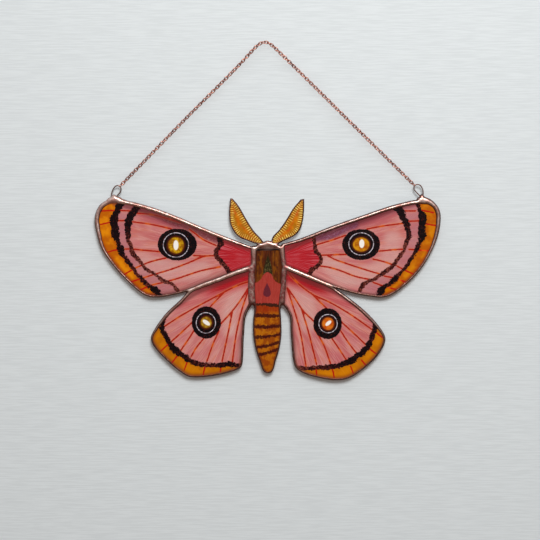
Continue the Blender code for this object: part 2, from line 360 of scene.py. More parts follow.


# wing glass: painted sheets, with the markings listed
leftForewing = {
    "root": (-5, -142),
    "bands": [
        [(-96.6, -105.3, 2.5), (-98.4, -109, 2), (-99.3, -111.7, 1.7), (-100.3, -114.3, 2),
         (-101.1, -117, 2.3), (-100.9, -120.3, 2.1), (-100.4, -123, 2.3), (-100.1, -126.3, 2.5),
         (-99, -129.6, 1.7), (-98.1, -132.3, 1.3), (-97.1, -135.6, 1.9), (-96, -138.9, 1.8),
         (-94.3, -141.6, 1.3), (-91.6, -144.9, 1.3), (-89.5, -147.6, 1.3), (-87.8, -150.2, 1.2),
         (-86, -152.9, 1), (-83.1, -155.5, 1.3), (-80.7, -158.2, 1.3), (-78.3, -160.5, 1.2),
         (-75.3, -162.4, 1.7), (-72.7, -164.4, 2), (-70.7, -166.5, 1.3)],
        [(-84.7, -106.3, 2.7), (-86.3, -109, 2.2), (-88, -111.7, 1.8), (-90, -114.3, 2.2),
         (-91.3, -117, 2.3), (-91.8, -120.3, 2), (-92, -123.6, 1.8), (-91.8, -127.6, 1.7),
         (-91.8, -130.3, 1.3), (-90.4, -132.9, 1.2), (-89.5, -135.6, 1.3), (-89.1, -138.3, 1.4),
         (-87.3, -140.9, 1.5), (-84.7, -143.4, 1.2), (-82.5, -146.2, 1), (-81.1, -148.6, 1),
         (-78.7, -150.6, 1.1), (-75, -152.4, 1), (-72, -154.5, 0.9), (-69.4, -156.9, 1.2),
         (-65.4, -158.4, 1.1), (-62.5, -159.7, 1), (-60.8, -161.5, 0.9), (-59.1, -163.5, 1.1),
         (-57.4, -165.9, 0.8)],
        [(-29.8, -126.9, 1.7), (-30.8, -129.6, 1.8), (-30.1, -132.3, 1.6), (-31.7, -135.3, 1.6),
         (-33.2, -138.3, 1.5), (-32.6, -141.6, 1.5), (-29.9, -144.6, 1.5), (-27.2, -147.9, 1.4),
         (-25.1, -150.9, 1.6), (-23.9, -153.2, 1.7)]],
    "veins": [
        [(-109.3, -111), (-99.9, -110.6), (-90, -111)], [(-86, -112.5), (-77.3, -113.2),
                                                         (-67.4, -115.6), (-57.4, -118.6)],
        [(-109.9, -119.9), (-103.9, -118.6), (-98.6, -117.6), (-93.3, -117.3)],
        [(-88.6, -118.2), (-77.3, -119.8), (-63.4, -122.8)],
        [(-105.3, -138.3), (-99.9, -136.9), (-90.6, -136.3), (-80.7, -137.1), (-70.7, -138.1)],
        [(-94.6, -153.5), (-90, -150.6), (-84, -147.6), (-77.3, -144.9), (-66.7, -142.2)],
        [(-90, -158.2), (-84.7, -156.4), (-74.7, -153.2), (-64, -150), (-50.7, -145), (-40.8, -141.1),
         (-33.4, -140.6)],
        [(-83.3, -163.3), (-77.3, -160.7), (-65.4, -157.7), (-57.4, -155.3), (-44.1, -150.9),
         (-30.8, -148.1)],
        [(-50.7, -123.3), (-41.4, -130.3), (-33.4, -133.9)], [(-48.1, -140.6), (-40.1, -140.9),
                                                              (-33.4, -140.6)]],
    "eye": {"black": (-59.1, -133.3, 13, 10.6), "ring": (-60, -133.6, 8.4, 8.1),
            "disc": (-60, -133.8, 5.6, 5.7),
            "pupil": (-60, -133.7, 1.6, 3.2, 0)},
    "costal": [(-66, -115.3, 2.4), (-56, -119.2, 3.2), (-45, -124.2, 3.4), (-36, -128, 3),
               (-31, -130, 2.4)],
    "rosy": [(-84, -109.7, 0.5), (-72, -113.6, 1), (-60, -119, 1)],
    "shade": [(-101, -105.5, 1), (-85, -109.5, 1.6), (-68, -115.2, 1.8), (-50, -121.5, 1.8),
              (-32, -129, 1.6), (-12, -136, 1)],
    "milk": [(-80, -146, 4), (-68, -150, 5), (-54, -151.5, 4), (-42, -150, 3)],
    "low": [(-78, -168, 1), (-62, -165.5, 1.8), (-45, -160, 1.8), (-28, -153, 1.6)],
    "swell": 0.08,
    "look": {"discLight": srgb(214, 166, 16), "discDeep": srgb(150, 92, 4),
             "rosy": srgb(192, 92, 100), "rosyDeep": srgb(160, 72, 82)}}

rightForewing = {
    "root": (7, -142),
    "bands": [
        [(100.2, -104, 1.3), (100.9, -107.7, 1.3), (102.2, -111, 1.5), (103.7, -114.3, 2.3),
         (104.2, -117.6, 2.3), (103.3, -121, 2), (103.2, -124.3, 2.3), (103.7, -126.9, 2.5),
         (102.5, -130.3, 1.7), (101.2, -132.9, 1.2), (99.9, -136.3, 1.5), (98.1, -139.6, 1.3),
         (96.2, -142.9, 1.3), (94.2, -145.6, 1.5), (92.6, -148.2, 1.3), (90.2, -150.9, 1.1),
         (87.6, -153.9, 1.3), (84.9, -156.5, 1.7), (81.9, -159.2, 1.5), (78.3, -161.5, 1.5),
         (76.3, -163.9, 2.2), (74.9, -166.5, 1.7)],
        [(85.3, -106.7, 1.7), (87.2, -109, 2.3), (89.6, -112, 2.1), (91, -115.6, 2.1), (92.9, -119, 2),
         (94, -123, 1.7), (94.9, -126.9, 1.7), (93.9, -130.3, 1.6), (92.2, -133.6, 1.4),
         (91.6, -136.9, 1.1), (89.2, -140.2, 1.5), (86.9, -143.6, 1.3), (84.9, -146.6, 1.4),
         (82.3, -149.1, 1.5), (78.6, -151.6, 1.5), (75.3, -153.9, 1.3), (71, -156.4, 1.3),
         (66.3, -158.5, 1.3), (63.6, -160.9, 1.5), (62, -163.9, 1.3)],
        [(31.4, -127.6, 1.3), (32.1, -130.9, 1.5), (32.4, -134.3, 1.3), (33.1, -137.6, 1.5),
         (35.6, -140.9, 1.4), (36.4, -143.9, 1.3), (34.7, -146.9, 1.5), (30.7, -149.9, 1.5),
         (28.5, -152.9, 1.5), (28.1, -155.5, 1.7)]],
    "veins": [
        [(36.4, -140.4), (44.4, -140.1), (53, -139.8)], [(41, -140.9), (45.7, -143.2), (53, -145.8),
                                                         (67, -150.4), (75.6, -152.9)],
        [(78.3, -154.2), (83.6, -155.3), (92.9, -158.3)], [(35, -147.4), (42.4, -148.6), (49, -150.6),
                                                           (59, -154.4), (69.6, -156.7)],
        [(71, -158.4), (78.9, -161.2), (86.9, -163.3)], [(33.7, -133.3), (42.4, -130.8),
                                                         (52.3, -127.3)],
        [(67, -123), (75.6, -121.3), (90.9, -119.2)], [(94.2, -117.8), (101.5, -117.6)],
        [(106.2, -119.6), (112.9, -120.7)],
        [(74.9, -137.7), (82.9, -136.9), (91.6, -136.3)], [(94.9, -136.5), (107.5, -137.5)],
        [(71, -143), (78.9, -144.9), (84.3, -146.8)], [(86.9, -147.6), (90.9, -149.8)], [(92.2, -150.4),
                                                                                         (97.6, -152.9)],
        [(92.2, -111), (98.9, -111)], [(103.5, -110.6), (110.9, -112.1)]],
    "eye": {"black": (63, -133.3, 12.6, 10.3), "ring": (63, -132.9, 8.2, 7.4),
            "disc": (63, -133.3, 5.8, 5),
            "pupil": (63.4, -132.7, 1.6, 2.8, 0)},
    "costal": [(33, -128.5, 2.4), (42, -126.5, 3.2), (50, -123.4, 3.4), (58, -119.4, 2.8)],
    "rosy": [(58, -119, 1), (72, -113.6, 1), (84, -109.4, 0.5)],
    "shade": [(101, -105.5, 1), (85, -109.2, 1.6), (68, -115, 1.8), (50, -121.3, 1.8),
              (32, -128.3, 1.6), (14, -136, 1)],
    "milk": [(42, -146, 4), (50, -152, 6), (66, -154, 5), (80, -146, 4), (84, -130, 3)],
    "low": [(74, -167.5, 0.4), (60, -166.5, 0.4), (45, -161.5, 0.4), (28, -154, 0.8)],
    "swell": -0.06,
    "look": {"amber": srgb(210, 126, 2),
             "discLight": srgb(212, 144, 16), "discDeep": srgb(164, 84, 4),
             "rosy": srgb(192, 92, 100), "rosyDeep": srgb(160, 72, 82),
             "costal": srgb(118, 54, 84), "fuzz": srgb(172, 138, 172)}}

leftHindwing = {
    "root": (-8, -158),
    "bands": [
        [(-68.4, -182.8, 1.3), (-69.2, -186.8, 1.5), (-68.7, -190.8, 1.5), (-66.7, -194.4, 1.4),
         (-65, -197.4, 1.4), (-63.4, -200.1, 1.6), (-61, -203, 1.9), (-58.4, -205.1, 1.5),
         (-55.7, -206.9, 1.5), (-52.7, -209, 1.6), (-50.1, -210.5, 1.3), (-46.7, -211.9, 1.3),
         (-43.4, -212.9, 1.2), (-39.4, -213.2, 1.1), (-35.4, -213.4, 1.2), (-31.5, -213.4, 1.3),
         (-26.8, -212.9, 1.5), (-22.1, -213.1, 1.4), (-18.2, -213.7, 1.1)]],
    "veins": [
        [(-11.5, -157.9), (-14.8, -158.9), (-22.8, -162.2), (-31.5, -166.8), (-44.1, -173.5),
         (-57.4, -181), (-67.4, -187.5)],
        [(-27.5, -164.5), (-32.1, -169.2), (-37.1, -174.5)], [(-49.1, -184.8), (-55.4, -190.8),
                                                              (-63, -197.8)],
        [(-48.1, -190.5), (-52.1, -196.8), (-56.7, -203.4)], [(-41.4, -195.4), (-46.7, -202.1),
                                                              (-49.9, -207.7)],
        [(-12.2, -162.5), (-17.5, -170.8), (-22.8, -177.8), (-30.8, -186.5)], [(-31.5, -190.8),
                                                                               (-35.4, -199.4),
                                                                               (-39.4, -210.7)],
        [(-22.5, -177.5), (-25.1, -190.8), (-29.3, -210.7)], [(-11.8, -163.5), (-15.5, -174.2),
                                                              (-19.2, -188.8), (-22.6, -211.4)],
        [(-65, -199.4), (-68, -202.1), (-69.7, -203.8)], [(-59.1, -207.1), (-61.4, -210.1),
                                                          (-63, -212.1)],
        [(-52.4, -210.7), (-53.4, -213.7), (-54.5, -216.4)], [(-40.6, -214.1), (-41.4, -217.4),
                                                              (-41.9, -219.7)],
        [(-30.1, -215.1), (-30.5, -217.4)]],
    "eye": {"black": (-39.8, -185, 9.7, 10.7), "ring": (-40.1, -185.3, 6.4, 6.8),
            "disc": (-39.9, -185, 3.9, 4.1),
            "pupil": (-39.8, -185.1, 2.7, 1.25, -35)},
    "rosy": [(-9, -151, 7), (-17.5, -153.1, 7), (-30.8, -158.2, 5.5), (-44.1, -163.6, 4),
             (-54, -170, 2.5)],
    "shade": [(-11, -151.5, 1), (-30.8, -158.8, 1.2), (-46, -165, 1), (-60, -174.5, 0.6)],
    "milk": [(-18.5, -165, 1), (-21, -169, 1.6), (-24, -175, 2), (-24, -190, 2)],
    "low": [(-17, -212, 0.8), (-15.8, -195, 1.6), (-13.5, -180, 1.4)],
    "swell": 0.3,
    "look": {"discLight": srgb(196, 154, 40), "discDeep": srgb(140, 94, 10),
             "amber": srgb(204, 122, 2), "amberDeep": srgb(176, 98, 2),
             "fieldDeep": srgb(216, 130, 126)}}

rightHindwing = {
    "root": (10, -158),
    "bands": [
        [(75.4, -182, 1.2), (73.6, -184.8, 1.2), (72.3, -187.5, 1.4), (72, -190.1, 1.3),
         (70.5, -193.1, 1.3), (69.8, -196.1, 1.3), (68.3, -199.4, 1.5), (66.3, -202.4, 1.5),
         (63.3, -205.3, 1.7), (60.3, -207.5, 1.4), (57.3, -209.9, 1.8), (54, -211.4, 1.5),
         (50.3, -212.9, 1.4), (46.4, -214.1, 1.3), (42.4, -214.7, 1.3), (37, -214.9, 1.1),
         (31.7, -215.1, 1.1), (26.4, -215.7, 1), (21.4, -215, 0.9)]],
    "veins": [
        [(13.4, -150.2), (17.1, -154.9), (24.4, -161.9), (29.7, -165.7), (42.4, -171.8), (55.7, -179.6),
         (70.3, -189.8)],
        [(29.7, -165.5), (34.4, -170.2), (40.7, -176.2)], [(49.7, -184.5), (59, -193.1), (66, -199.8)],
        [(49.3, -190.5), (54.3, -198.1), (60.6, -206.4)], [(43.7, -195.8), (48, -202.1),
                                                           (53.3, -210.1)],
        [(14.1, -162.2), (18.4, -168.2), (24.4, -177.2), (31.4, -184.1)], [(32.1, -189.5),
                                                                           (37.7, -199.1),
                                                                           (43, -213.4)],
        [(23.4, -176.2), (27.1, -188.1), (33.4, -212.7)], [(13.8, -162.5), (17.1, -172.2),
                                                           (22.4, -190.8), (26.4, -214.4)],
        [(72.3, -190.8), (74.3, -192.8), (76.9, -194.8)], [(68.3, -202.1), (71, -204.4),
                                                           (73.6, -206.1)],
        [(63.3, -210.1), (65, -212.1), (66.3, -213.7)], [(56, -214.4), (57, -216.7), (57.7, -218.7)],
        [(43.7, -215.7), (44.6, -218.7), (45, -221.4)], [(33.1, -216.1), (33.4, -219.4)]],
    "eye": {"black": (40.7, -185.8, 9.5, 10.3), "ring": (41, -185.8, 6.1, 6.1),
            "disc": (41, -185.9, 4.3, 4.5),
            "pupil": (41.2, -185.5, 2.3, 1.1, 40)},
    "rosy": [(11, -150, 7), (17.1, -152.2, 7), (29.1, -157.2, 5.5), (42.4, -163.4, 4), (54, -170, 2.5)],
    "shade": [(12.5, -151, 1), (30, -158.5, 1.2), (46, -165, 1), (60, -174, 0.6)],
    "milk": [(17, -158, 2), (23, -165, 3.5), (27, -175, 4), (28, -186, 3)],
    "low": [(19, -212, 0.8), (16.8, -195, 1.4), (15, -182, 1)],
    "swell": 0.36,
    "look": {"amber": srgb(210, 126, 2), "amberDeep": srgb(180, 100, 2),
             "discLight": srgb(218, 118, 26), "discDeep": srgb(184, 70, 6)}}

# what the four wings share; a wing's own look comes over it
wingLook = {
    "cell": 0.45, "halfGlass": 1.5, "tuck": 0.15, "clear": 0.2, "outerBold": 0.4,
    "fieldDeep": srgb(210, 116, 114), "fieldPale": srgb(228, 154, 146),
    "fieldMauve": srgb(208, 108, 118),
    "milk": srgb(232, 186, 178), "salmon": srgb(226, 128, 104),
    "lilac": srgb(196, 124, 130), "rosy": srgb(208, 50, 66), "rosyDeep": srgb(186, 12, 30),
    "costal": srgb(128, 52, 62), "fuzz": srgb(190, 148, 154), "shade": srgb(104, 44, 44),
    "basal": srgb(190, 28, 38), "basalPale": srgb(216, 108, 118), "basalDark": srgb(134, 34, 56),
    "amber": srgb(226, 136, 2), "amberDeep": srgb(170, 70, 0),
    "vein": srgb(182, 24, 10), "veinWarm": srgb(226, 92, 14), "glow": srgb(236, 136, 72),
    "black": srgb(16, 5, 8), "brown": srgb(86, 26, 20), "glint": srgb(150, 84, 70),
    "eyeBlack": srgb(12, 5, 8), "ring": srgb(214, 204, 214), "pupil": srgb(246, 242, 234),
    "discRim": srgb(70, 24, 4), "halo": srgb(74, 20, 10)}


# how far each place is outside an ellipse: centre, half-width, half-height and turn in degrees
def ellipse(places, shape):
    x, z, wide, tall = shape[:4]
    turn = math.radians(shape[4]) if len(shape) > 4 else 0
    dx, dz = places[:, 0] - x, places[:, 1] - z
    across = (dx * math.cos(turn) + dz * math.sin(turn)) / wide
    up = (dz * math.cos(turn) - dx * math.sin(turn)) / tall
    around = np.sqrt(across**2 + up**2) + 1e-9
    slope = np.sqrt((across / wide)**2 + (up / tall)**2) / around + 1e-9  # makes the distance even
    return np.clip((around - 1) / slope, -20, 20)


# a broad soft brush stroke, 1 along its middle
def brushed(places, line, soft):
    line = smoothLine(line, 1.0)
    far, _, _, row = nearest(places, line)
    width = np.interp(row, np.arange(len(line)), line[:, 2])
    return 1 - ease(far, width * 0.6, width * 0.6 + soft)


# all that the paint of a wing needs to know at each place
def wingNotes(places, loop, wing):
    outward = -1 if wing["root"][0] < 0 else 1
    band, thin = np.full(len(places), -9.0), np.zeros(len(places))
    sides = []
    for line in wing["bands"]:
        fine = smoothLine(line, 0.7)
        far, _, _, row = nearest(places, fine)
        drawn = np.interp(row, np.arange(len(fine)), fine[:, 2])
        width = drawn + wing["swell"] + 0.25 * ease(drawn, 1.4, 2.0)
        bold = wingLook["outerBold"] if line is wing["bands"][0] else 0
        better = width - far > band
        band, thin = np.where(better, width - far, band), np.where(better, drawn + bold, thin)
        far, side, _, _ = nearest(places, extended(fine))
        sides.append(far * side * outward)
    sign, close, reach = np.full(len(places), 2.0), np.full(len(places), 9.0), np.zeros(len(places))
    for line in wing["veins"]:
        fine = smoothLine(line, 0.8)
        far, side, along, _ = nearest(places, fine)
        better = far < close
        sign, close = np.where(better, np.clip(far * side, -2, 2), sign), np.where(better, far, close)
        reach = np.where(better, along, reach)
    eye = wing["eye"]
    away = places - np.array(wing["root"])
    radius, angle = np.linalg.norm(away, axis=1), np.arctan2(away[:, 1], away[:, 0] * outward)
    depth, _ = depthIn(places, loop, 3)
    none = np.zeros(len(places))
    between, basal, costal, rosy = none, none, none, brushed(places, wing["rosy"], 9.0)
    if len(sides) > 1:  # a forewing, with its three bands
        between = ease(-sides[0], 0, 1) * ease(sides[1], 0, 1)
        basal = ease(-sides[2], -0.3, 0.8)
        costal = brushed(places, wing["costal"], 3.0)
    else:
        rosy = rosy * (1 - 0.62 * ease(radius, 22, 42))  # fades away from the root
    return {
        "band": band, "thin": 1 - ease(thin, 1.2, 2.1), "margin": sides[0],
        "between": between, "basal": basal, "costal": costal, "rosy": rosy,
        "shade": brushed(places, wing["shade"], 2.2),
        "milk": brushed(places, wing["milk"], 7.0), "low": brushed(places, wing["low"], 3.0),
        "veinSide": sign, "veinFar": np.minimum(close, 3), "veinAlong": reach,
        "eye": ellipse(places, eye["black"]), "ring": ellipse(places, eye["ring"]),
        "disc": ellipse(places, eye["disc"]), "pupil": ellipse(places, eye["pupil"]),
        "depth": depth, "grain": np.stack([angle * 45, radius, np.zeros(len(places))], 1)}


def wingGlass(name, look):
    f = Finish(name)
    grain = f.note("grain", "Vector")
    fine = f.grainy(f.stretch(grain, (1.3, 0.07, 1)), 1.0, 4, 0.6)
    broad = f.grainy(f.stretch(grain, (0.26, 0.035, 1)), 1.0, 2)
    cloud = f.grainy(f.place, 0.07, 2)
    torn = f.grainy(f.place, 0.5, 5, 0.68, 0.3)
    crumb = f.grainy(f.place, 1.1, 4, 0.7)
    # dusty pink, laid on in long soft strokes from the root
    colour = f.mix(f.ramp(broad, 0.2, 0.85), look["fieldDeep"], look["fieldPale"])
    colour = f.mix(f.times(f.ramp(cloud, 0.35, 0.85), 0.4), colour, look["fieldMauve"])
    blush = f.grainy(f.stretch(grain, (0.4, 0.05, 1)), 1.3, 2)
    colour = f.mix(f.times(f.ramp(blush, 0.6, 1.0), 0.5), colour, look["salmon"])
    colour = f.mix(f.times(f.ramp(fine, 0.45, 1.0), 0.3), colour, look["milk"])
    colour = f.mix(f.times(f.note("milk"), f.ramp(broad, 0.1, 0.8, 0.75, 0.35)), colour, look["milk"])
    colour = f.mix(f.times(f.note("between"), f.ramp(fine, 0.1, 0.9, 0.45, 0.85)), colour, look["lilac"])
    rosy = f.mix(f.ramp(f.note("rosy"), 0.45, 0.95), look["rosy"], look["rosyDeep"])
    colour = f.mix(f.times(f.note("rosy"), f.ramp(fine, 0.3, 1.0, 1.0, 0.9)), colour, rosy)
    wisp = f.grainy(f.stretch(grain, (1.2, 0.4, 1)), 1.3, 5, 0.7)
    costal = f.mix(f.times(f.ramp(wisp, 0.5, 0.95), 0.9), look["costal"], look["fuzz"])
    colour = f.mix(f.times(f.note("costal"), f.ramp(fine, 0.1, 0.9, 1.0, 0.7)), colour, costal)
    streak = f.grainy(f.stretch(grain, (0.8, 0.06, 1)), 1.0, 3)
    basal = f.mix(f.times(f.ramp(streak, 0.5, 0.85), 0.75), look["basal"], look["basalPale"])
    basal = f.mix(f.times(f.ramp(streak, 0.45, 0.15), 0.35), basal, look["basalDark"])
    colour = f.mix(f.note("basal"), colour, basal)
    # amber beyond the outer band, deeper towards the band; the darkening towards the metal is painted shade
    margin = f.ramp(f.stir(f.note("margin"), fine, 0.4), -0.3, 0.3)
    patch = f.ramp(f.grainy(f.place, 0.13, 2), 0.3, 0.9)
    amber = f.mix(f.times(patch, 0.7), look["amber"], look["amberDeep"])
    amber = f.mix(f.times(f.ramp(f.note("depth"), 1.4, 3.2, 1.0, 0.0), 0.75), amber, look["amberDeep"])
    amber = f.mix(f.times(f.ramp(f.note("band"), -2.6, -0.4), 0.35), amber, look["amberDeep"])
    colour = f.mix(margin, colour, amber)
    # veins: a drawn line with a warm glow beside it
    pastEnd = f.calc("SUBTRACT", f.note("veinFar"), 0.45)
    veinFar = f.calc("MAXIMUM", f.calc("ABSOLUTE", f.note("veinSide")), pastEnd)
    veinFar = f.stir(veinFar, f.grainy(f.place, 0.6, 2), 0.22)
    glow = f.times(f.ramp(veinFar, 0.45, 1.25, 1.0, 0.0), f.ramp(margin, 0, 1, 0.5, 0.0))
    colour = f.mix(glow, colour, look["glow"])
    along = f.add("ShaderNodeCombineXYZ")
    f.feed(along.inputs[0], f.note("veinAlong"))
    warm = f.ramp(f.grainy(along.outputs[0], 0.16, 1), 0.5, 0.95)
    vein = f.mix(warm, look["vein"], look["veinWarm"])
    colour = f.mix(f.ramp(veinFar, 0.34, 0.66, 1.0, 0.0), colour, vein)
    # the edges are darker where the metal's shade falls on the glass
    colour = f.mix(f.times(f.note("shade"), 0.65), colour, look["shade"])
    colour = f.mix(f.times(f.note("low"), 0.35), colour, look["shade"])
    colour = f.mix(f.ramp(f.note("depth"), 0.8, 2.0, 0.45, 0.0), colour, look["shade"])
    # dark bands with torn, crumbly edges; the thin stretches look beaded
    edge = f.stir(f.note("band"), torn, f.ramp(f.note("thin"), 0, 1, 2.2, 1.3), 0.46)
    edge = f.stir(edge, crumb, 0.45)
    dark = f.ramp(edge, -0.1, 0.14)
    brownAndGlint = f.calc("ADD", f.times(f.note("thin"), 0.45), crumb)
    bandColour = f.mix(f.ramp(brownAndGlint, 0.6, 1.05), look["black"], look["brown"])
    # painted highlight: pale glints of light on the beaded thin stretches of the bands
    bandColour = f.mix(f.times(f.ramp(brownAndGlint, 0.95, 1.25), 0.8), bandColour, look["glint"])
    colour = f.mix(dark, colour, bandColour)
    # eyespot: a black round, a fine pale ring, an amber disc and a pale slit
    eye = f.ramp(f.stir(f.note("eye"), torn, 0.7), -0.15, 0.2, 1.0, 0.0)
    colour = f.mix(eye, colour, f.mix(f.ramp(crumb, 0.6, 1.1), look["eyeBlack"], look["brown"]))
    ringLine = f.ramp(f.calc("ABSOLUTE", f.note("ring")), 0.1, 0.36, 1.0, 0.0)
    gaps = f.ramp(f.grainy(f.place, 0.8, 3), 0.34, 0.6, 0.3, 1.0)
    colour = f.mix(f.times(ringLine, gaps), colour, look["ring"])
    colour = f.mix(f.ramp(f.note("disc"), 0.3, 1.1, 0.85, 0.0), colour, look["halo"])
    disc = f.mix(f.ramp(f.grainy(f.place, 0.35, 3), 0.2, 0.8), look["discLight"], look["discDeep"])
    disc = f.mix(f.ramp(f.note("disc"), -0.9, 0.1), disc, look["discRim"])
    colour = f.mix(f.ramp(f.note("disc"), -0.05, 0.3, 1.0, 0.0), colour, disc)
    colour = f.mix(f.ramp(f.note("pupil"), -0.2, 0.3, 1.0, 0.0), colour, look["pupil"])
    # light passes the pink alone
    solid = f.calc("MAXIMUM", f.times(f.note("basal"), 0.4), f.times(margin, 0.9))
    solid = f.calc("MAXIMUM", f.calc("MAXIMUM", dark, eye), solid)
    f.set(Base_Color=colour, Roughness=f.ramp(fine, 0, 1, 0.2, 0.3),
          Transmission_Weight=f.ramp(solid, 0, 1, look["clear"], 0.0), **glassSurface)
    f.relief(f.calc("ADD", f.grainy(f.place, 0.12, 2), f.times(fine, 0.05)), 0.06)
    return f.material


wings = {"left_forewing": leftForewing, "right_forewing": rightForewing,
         "left_hindwing": leftHindwing, "right_hindwing": rightHindwing}
pinch = {"height": -176.5, "reach": 4.5, "left": 1.0, "right": 0.7}


# the abdomen is drawn in a little just below the wings
def waisted(loop):
    pull = np.where(loop[:, 0] < 1, pinch["left"], -pinch["right"])
    pull = pull * np.exp(-((loop[:, 1] - pinch["height"]) / pinch["reach"])**2)
    return loop + np.stack([pull, 0 * pull], 1)


paneNames = [*wings, "body", "left_antenna", "right_antenna"]
paneLoops = {name: nodeLoop(name + "_glass", -1.5) for name in paneNames}
paneLoops["body"] = waisted(paneLoops["body"])
for wingName, wing in wings.items():
    loop = paneLoops[wingName]
    sheet = paneSheet(loop, wingLook)
    title = wingName.replace("_f", "F").replace("_h", "H") + "Pane"
    pane = slab(title, sheet, -wingLook["halfGlass"], wingLook["halfGlass"],
                wingNotes(sheet[0], loop, wing),
                wingGlass(title + "Glass", {**wingLook, **wing["look"]}))
    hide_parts(wingName + "_glass")

# body glass
body = {
    "cell": 0.4, "halfGlass": 1.5, "tuck": 0.2,
    "thorax": [(-14, -159.5), (-7.5, -158.9), (-4.2, -156.9), (-1.5, -152.9), (0.8, -151.6),
               (3.1, -152.9), (5.8, -157.5), (9.8, -159.5), (15, -160)],
    "stripes": [[(-9, -173.2, 0.6), (-2, -173.0, 0.95), (4, -173.5, 1.15), (10, -173.8, 0.9)],
                [(-9, -180.1, 1.25), (0, -180.7, 1.35), (10, -180.6, 1.15)],
                [(-9, -187.7, 1.1), (0, -188, 1.25), (10, -187.2, 1.1)],
                [(-9, -195, 1.0), (0, -194.4, 1.0), (10, -192.9, 1.0)],
                [(-9, -201.9, 1.0), (0, -200.7, 1.05), (10, -197.7, 1.0)],
                [(-6, -206.6, 1.05), (1, -205.2, 1.05), (9, -202.2, 1.0)]],
    "brown": srgb(98, 40, 6), "brownDark": srgb(66, 22, 4), "brownGold": srgb(140, 76, 2),
    "moss": srgb(36, 36, 10), "mossPale": srgb(124, 112, 66), "rim": srgb(84, 34, 20),
    "red": srgb(170, 50, 42), "redPale": srgb(188, 74, 62), "drop": srgb(96, 32, 48),
    "amber": srgb(158, 74, 0), "amberPale": srgb(190, 108, 4), "amberRed": srgb(156, 40, 4),
    "stripe": srgb(58, 5, 10), "stripeGrey": srgb(44, 26, 16),
    "dropShape": [(0.5, -158.9, 0.15), (0.5, -161, 1.1), (0.5, -163.4, 2.1), (0.5, -165.6, 2.5)]}


def bodyNotes(places, loop):
    far, side, _, _ = nearest(places, smoothLine(body["thorax"], 0.6))
    stripes = np.max([strokeDepth(places, line) for line in body["stripes"]], axis=0)
    firstFar = nearest(places, smoothLine(body["stripes"][0], 0.8))[0]
    return {"thorax": far * side, "drop": strokeDepth(places, body["dropShape"], 0.5),
            "stripes": np.maximum(stripes, -9), "firstStripe": np.minimum(firstFar, 5),
            "depth": depthIn(places, loop, 3)[0], "height": places[:, 1]}


def bodyGlass():
    f = Finish("bodyPaint")
    streak = f.grainy(f.stretch(f.place, (1.5, 1, 0.18)), 1.0, 4, 0.65)
    fine = f.grainy(f.stretch(f.place, (2.4, 1, 0.3)), 1.0, 3)
    crumb = f.grainy(f.place, 1.5, 5, 0.7)
    height = f.note("height")
    belly = f.mix(f.ramp(f.grainy(f.place, 0.25, 3), 0.35, 0.65), body["amber"], body["amberPale"])
    belly = f.mix(f.ramp(height, -181, -176, 0.0, 0.85), belly, body["amberRed"])
    belly = f.mix(f.ramp(height, -210, -206, 0.2, 0.0), belly, body["amberRed"])
    waist = f.mix(f.ramp(streak, -0.1, 1.4), body["red"], body["redPale"])
    waist = f.mix(f.times(f.ramp(fine, 0.7, 1.0), 0.3), waist, body["redPale"])
    colour = f.mix(f.ramp(height, -173.6, -172.6), belly, waist)
    thorax = f.mix(f.ramp(streak, 0.1, 0.8), body["brownDark"], body["brown"])
    x = f.add("ShaderNodeSeparateXYZ")
    f.feed(x.inputs[0], f.place)
    fromMiddle = f.calc("ABSOLUTE", f.calc("SUBTRACT", x.outputs[0], 1.0))
    # golden beside the middle
    lobe = f.times(f.ramp(fromMiddle, 2.0, 4.2), f.ramp(fromMiddle, 6.0, 8.4, 1.0, 0.0))
    lobe = f.times(lobe, f.ramp(f.grainy(f.stretch(f.place, (0.5, 1, 0.22)), 1.0, 3), 0.2, 0.75))
    thorax = f.mix(f.times(lobe, f.ramp(fine, 0.1, 0.9, 0.5, 1.0)), thorax, body["brownGold"])
    # a mossy wedge down the middle, scratched pale at its foot
    spread = f.ramp(height, -152, -139, 3.0, 0.6)
    patch = f.ramp(f.calc("SUBTRACT", fromMiddle, spread), -0.7, 0.7, 1.0, 0.0)
    tuft = f.grainy(f.stretch(f.place, (1.6, 1, 0.5)), 1.0, 4, 0.7)
    patch = f.times(patch, f.ramp(tuft, 0.1, 0.5, 0.4, 1.0))
    thorax = f.mix(f.times(patch, f.ramp(height, -143, -138, 0.95, 0.0)), thorax, body["moss"])
    scratch = f.ramp(f.grainy(f.stretch(f.place, (2.0, 1, 0.6)), 1.0, 2, 0.5, 0.8), 0.62, 0.9)
    scratch = f.times(f.times(scratch, patch), f.ramp(height, -146, -142, 0.8, 0.0))
    thorax = f.mix(scratch, thorax, body["mossPale"])
    colour = f.mix(f.ramp(f.stir(f.note("thorax"), crumb, 0.9), -0.3, 0.3), colour, thorax)
    drop = f.ramp(f.stir(f.note("drop"), crumb, 0.6), -0.25, 0.25)
    colour = f.mix(f.times(drop, 0.9), colour, body["drop"])
    rough = f.stir(f.note("stripes"), f.grainy(f.place, 0.8, 5, 0.7), 1.9)
    firstStripe = f.ramp(f.note("firstStripe"), 0.8, 1.6, 1.0, 0.0)
    stripeColour = f.mix(firstStripe, body["stripe"], body["stripeGrey"])
    colour = f.mix(f.ramp(rough, -0.1, 0.2, 0.0, 0.94), colour, stripeColour)
    # painted shade: the body glass darkens close to the metal
    colour = f.mix(f.ramp(f.note("depth"), 0.5, 1.6, 0.4, 0.0), colour, body["rim"])
    f.set(Base_Color=colour, Roughness=f.ramp(fine, 0, 1, 0.2, 0.3),
          Transmission_Weight=f.ramp(rough, -0.1, 0.2, 0.15, 0.0), **glassSurface)
    f.relief(f.calc("ADD", f.grainy(f.place, 0.15, 2), f.times(streak, 0.06)), 0.06)
    return f.material


bodyLoop = paneLoops["body"]
bodySheet = paneSheet(bodyLoop, body)
bodyPane = slab("bodyPane", bodySheet, -body["halfGlass"], body["halfGlass"],
                bodyNotes(bodySheet[0], bodyLoop), bodyGlass())
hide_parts("body_glass")

